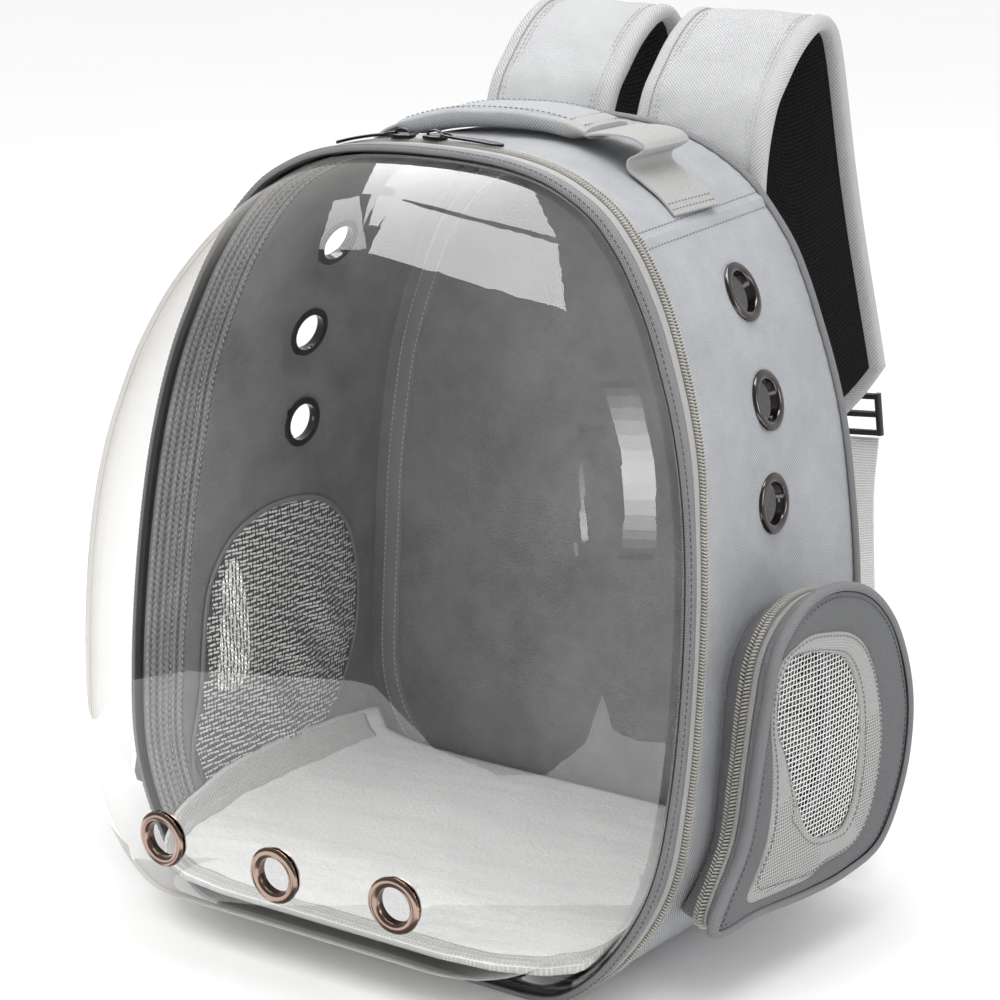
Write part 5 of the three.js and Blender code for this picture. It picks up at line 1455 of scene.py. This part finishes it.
for side, x0, sgn in (("left", -27.0, -1), ("right", -8.0, 1)):
    body = strip([on_top(x0 + sgn * d, 1.1) for d in (-6.2, -5.6, -3, 0, 3, 5.6, 6.4)], [1.2, 2.8, 3.5, 4.3, 4.1, 2.6, 1.2], [0.6, 1.0, 1.2, 1.3, 1.3, 1.1, 0.6])
    bail = tube(np.array([on_top(x0 + sgn * d, u) for d, u in ((-4.4, 1.6), (-4.2, 3.0), (-2.6, 4.2), (0, 4.6), (2.6, 4.2), (4.3, 3.0), (4.6, 1.6))]), np.tile([0, 1.0, 0], (7, 1)),
                np.array([[1.0 if k in (0, 6) else 0.0, 0, 0.0 if k in (0, 6) else 1.0] for k in range(7)]), 1.1, 0.55, 10)
    build(f"{side}_zip_slider_body", **merged([body, tagged(bail, 0)]), mats=MAT["black_metal"], slot="slider_metal", replaces=f"{side}_zip_slider")
    ring_a = np.linspace(0, 2 * PI, 20, endpoint=False)
    rc = on_top(x0 + sgn * 7.2, 2.6)
    ring_c = rc + np.stack([3.3 * np.cos(ring_a), 2.5 * np.sin(ring_a), 0.7 * np.cos(ring_a) * -sgn], 1)
    ring_t = unit(np.roll(ring_c, -1, 0) - np.roll(ring_c, 1, 0))
    ring = tube(ring_c, unit(np.cross(ring_t, [0, 0, 1.0])), np.tile([0, 0, 1.0], (20, 1)), 0.6, 0.6, 8, True)
    d = np.linspace(9.5, 38.5, 22)
    wy = np.interp(d, [9.5, 10.5, 14, 30, 34, 37, 38.5], [0.9, 1.7, 2.1, 3.0, 3.0, 2.0, 0.7])
    tab = strip([on_top(x0 + sgn * q, 1.9 - 0.02 * (q - 9), 0.045 * (q - 9) * sgn) for q in d], wy, 0.75)
    build(f"{side}_zip_pull_tab", **merged([tagged(ring, 0), tab]), mats=MAT["black_metal"], slot="slider_metal", replaces=f"{side}_zip_pull")

# ---------------------------------------------------------------- ladder-lock buckles
BC = np.array([72, 355.5 + Y0, 212.0])
bz = unit(np.array([0.05, 1, 0.03]))
bx = unit(np.cross([-0.1, 0, 1.0], bz))
by = np.cross(bz, bx)


def bar(a, b, r1, r2, mid=1.0):
    """A rounded bar from a to b, in the buckle's own plane (x, y, z)."""
    t = np.linspace(0, 1, 9)
    C = np.array(a, float) + (np.array(b, float) - np.array(a, float)) * t[:, None]
    k = 1 + (mid - 1) * np.sin(PI * t)
    ang = np.linspace(0, 2 * PI, 14, endpoint=False)
    cc, sc = np.sign(np.cos(ang)) * np.abs(np.cos(ang)) ** 0.6, np.sign(np.sin(ang)) * np.abs(np.sin(ang)) ** 0.6
    d_ = unit(np.array(b, float) - np.array(a, float))
    u_ = unit(np.cross([0, 0, 1.0], d_))
    return C[:, None] + u_ * (cc[None, :, None] * r1) + np.array([0, 0, 1.0]) * (sc[None] * r2 * k[:, None])[..., None]


parts = [bar((-15.4, -12, 2.2), (-15.4, 12, 2.2), 1.7, 2.1), bar((15.4, -12, 2.2), (15.4, 12, 2.2), 1.7, 2.1)]
parts += [bar((-15.4, y, 2.2), (15.4, y, 2.2), r, h, 1.15) for y, r, h in ((-10.6, 1.6, 1.8), (0.0, 1.7, 2.2), (10.2, 1.7, 1.9))]
bk = merged([tagged(swept(g), 0) for g in parts])
bk["V"] = bk["V"] @ np.stack([bx, by, bz]) + BC
for side, q in (("right", bk), ("left", mirror(bk))):
    build(f"{side}_strap_buckle_frame", **q, mats=MAT["buckle"], slot="buckle_plastic", replaces=f"{side}_strap_buckle")

# ---------------------------------------------------------------- floor, light, camera
AZ, EL = 0.6053876786, 0.2715237541
eye = Vector((0.78665, -1.12882, 0.59102))
fwd = Vector((-math.sin(AZ) * math.cos(EL), math.cos(AZ) * math.cos(EL), -math.sin(EL)))
right = Vector((math.cos(AZ), math.sin(AZ), 0))
upv = right.cross(fwd)
cam_data = bpy.data.cameras.new("camera")
cam_data.lens, cam_data.sensor_width, cam_data.sensor_fit = 102.157, 36.0, "HORIZONTAL"
cam_data.clip_start, cam_data.clip_end = 0.05, 60
cam = bpy.data.objects.new("camera", cam_data)
bpy.context.scene.collection.objects.link(cam)
cam.location = eye
cam.rotation_euler = fwd.to_track_quat("-Z", "Y").to_euler()
bpy.context.scene.camera = cam


def ray(px, py):
    """Direction through a place in the 1000 x 1000 frame."""
    return (fwd * 2837.71 + right * (px - 500) - upv * (py - 500)).normalized()


floor_mat_ = Nodes("floor_paint")
pos, _ = floor_mat_.xyz()
fn = floor_mat_.noise(pos, 3.0, 3.0)
floor_mat_.principled(floor_mat_.mix(fn, (0.90, 0.90, 0.90), (0.93, 0.93, 0.93)), 0.75, spec=0.15)
fl = bpy.data.meshes.new("floor")
n_ = 60
fl.from_pydata([(7 * math.cos(a), 7 * math.sin(a), -0.0002) for a in np.linspace(0, 2 * PI, n_, endpoint=False)], [], [list(range(n_))])
fl.materials.append(floor_mat_.m)
floor = bpy.data.objects.new("floor", fl)
bpy.context.scene.collection.objects.link(floor)
floor.visible_glossy = False

world = bpy.data.worlds.new("studio")
bpy.context.scene.world = world
world.use_nodes = True
wt = world.node_tree
wt.nodes.clear()
wo = wt.nodes.new("ShaderNodeOutputWorld")
b1, b2, mx = wt.nodes.new("ShaderNodeBackground"), wt.nodes.new("ShaderNodeBackground"), wt.nodes.new("ShaderNodeMixShader")
lp = wt.nodes.new("ShaderNodeLightPath")
b1.inputs[0].default_value, b1.inputs[1].default_value = (1, 1, 1, 1), 1.02
gen, sep, mr_ = wt.nodes.new("ShaderNodeTexCoord"), wt.nodes.new("ShaderNodeSeparateXYZ"), wt.nodes.new("ShaderNodeMapRange")
wt.links.new(gen.outputs["Generated"], sep.inputs[0])
wt.links.new(sep.outputs[1], mr_.inputs[0])
for k_, v_ in zip(range(1, 5), (-0.55, 0.45, 0.30, 1.0)):
    mr_.inputs[k_].default_value = v_
b2.inputs[0].default_value = (1, 0.985, 0.96, 1)
wt.links.new(mr_.outputs[0], b2.inputs[1])
wt.links.new(lp.outputs["Is Glossy Ray"], mx.inputs[0])
wt.links.new(b1.outputs[0], mx.inputs[1])
wt.links.new(b2.outputs[0], mx.inputs[2])
wt.links.new(mx.outputs[0], wo.inputs[0])


def area(name, at, to, size, power, color=(1, 1, 1)):
    d = bpy.data.lights.new(name, "AREA")
    d.shape, d.size, d.energy, d.color = "DISK", size, power, color
    o = bpy.data.objects.new(name, d)
    bpy.context.scene.collection.objects.link(o)
    o.location = at
    o.rotation_euler = (Vector(to) - Vector(at)).to_track_quat("-Z", "Y").to_euler()
    o.visible_glossy = False
    return o


area("top_softbox", (0.35, -0.35, 2.3), (0, 0, 0.2), 1.9, 24)
area("front_softbox", (-0.9, -2.2, 1.3), (0, 0, 0.2), 1.5, 8)
area("side_softbox", (2.2, -0.6, 1.1), (0, 0, 0.2), 1.3, 5)


# cards that the clear bubble mirrors: each is laid out where the gloss would show it from the front
def card(name, corners, bright, n=10, far=0.45):
    me_ = dome_ob.data
    co = np.array([v.co[:] for v in me_.vertices]) if not hasattr(card, "co") else card.co
    if not hasattr(card, "co"):
        card.co = co
        card.faces = [list(pg.vertices) for pg in me_.polygons if pg.material_index == 0]
        card.bvh = BVHTree.FromPolygons([Vector(v) for v in co], card.faces)
        nv = np.array([v.normal[:] for v in me_.vertices])
        card.nv = nv
    c4 = np.array(corners, float)
    verts, ok = [], []
    for a in np.linspace(0, 1, n + 1):
        for b in np.linspace(0, 1, n + 1):
            p2 = (c4[0] * (1 - a) + c4[1] * a) * (1 - b) + (c4[3] * (1 - a) + c4[2] * a) * b
            d = ray(*p2)
            hit, nrm, k, _dist = card.bvh.ray_cast(eye, d)
            if hit is None:
                verts.append((0, 0, 0)); ok.append(False); continue
            f = card.faces[k]
            wts = np.array([1 / (1e-5 + (Vector(card.co[v]) - hit).length) for v in f])
            nn_ = Vector((card.nv[f] * wts[:, None]).sum(0)).normalized()
            if nn_.dot(d) > 0:
                nn_ = -nn_
            r = d - 2 * d.dot(nn_) * nn_
            verts.append(tuple(hit + r * far)); ok.append(True)
    quads = []
    for a in range(n):
        for b in range(n):
            q = [a * (n + 1) + b, (a + 1) * (n + 1) + b, (a + 1) * (n + 1) + b + 1, a * (n + 1) + b + 1]
            if all(ok[v] for v in q):
                quads.append(q)
    m_ = bpy.data.meshes.new(name)
    m_.from_pydata(verts, [], quads)
    mt = bpy.data.materials.new(name)
    mt.use_nodes = True
    t = mt.node_tree
    t.nodes.clear()
    o_, e_ = t.nodes.new("ShaderNodeOutputMaterial"), t.nodes.new("ShaderNodeEmission")
    e_.inputs[0].default_value, e_.inputs[1].default_value = (1, 1, 1, 1), bright
    t.links.new(e_.outputs[0], o_.inputs[0])
    m_.materials.append(mt)
    ob_ = bpy.data.objects.new(name, m_)
    bpy.context.scene.collection.objects.link(ob_)
    for flag in ("visible_camera", "visible_diffuse", "visible_transmission", "visible_volume_scatter", "visible_shadow"):
        setattr(ob_, flag, False)
    return ob_


card("window_pane_1", [(377, 162), (414, 157), (392, 197), (362, 193)], 7.0, n=14)
card("window_pane_2", [(419, 156), (530, 183), (556, 238), (397, 197)], 8.6, n=20)
card("window_pane_3", [(334, 201), (359, 196), (366, 249), (318, 250)], 6.0, n=14)
card("window_pane_4", [(394, 199), (558, 244), (566, 311), (368, 252)], 9.2, n=20)

low_edge = [(133, 680), (187, 671), (354, 681), (374, 686), (434, 749), (500, 775), (545, 775), (560, 763), (585, 744), (603, 695), (613, 731), (640, 742), (678, 743)]
for k_, (a_, b_) in enumerate(zip(low_edge[:-1], low_edge[1:])):
    card(f"low_light_{k_}", [a_, b_, (b_[0], 905), (a_[0], 905)], 2.9, n=5)


def glow(name, rows, steps):
    """A soft-ended strip: rows of (y, left x, right x, brightness)."""
    R, _ = cr(np.array(rows, float), False, steps)
    for k_, (p_, q_) in enumerate(zip(R[:-1], R[1:])):
        lum = max(0.0, (p_[3] + q_[3]) / 2)
        if lum > 0.05:
            card(f"{name}_{k_}", [(p_[1], p_[0]), (p_[2], p_[0]), (q_[2], q_[0]), (q_[1], q_[0])], lum, n=3)


glow("strip_light_a", [(382, 600, 634, 0.1), (396, 605, 640, 1.8), (420, 612, 645, 5.0), (450, 620, 652, 9.0), (470, 622, 655, 11.0), (500, 624, 656, 9.0),
                       (530, 623, 656, 4.0), (548, 621, 655, 1.2), (560, 618, 653, 0.1)], 2)
glow("strip_light_b", [(424, 576, 604, 0.1), (440, 577, 606, 0.9), (450, 578, 606, 0.9), (458, 579, 594, 0.3), (464, 580, 583, 1.5)], 2)
glow("strip_light_c", [(464, 579, 583, 2.0), (500, 580, 585, 4.0), (535, 581, 588, 8.0), (541, 582, 588, 4.0)], 3)
card("strip_light_d", [(573, 544), (578, 543), (579, 556), (574, 557)], 3.0, n=2)

bpy.context.scene.view_settings.view_transform = "Standard"
bpy.context.scene.view_settings.look = "None"
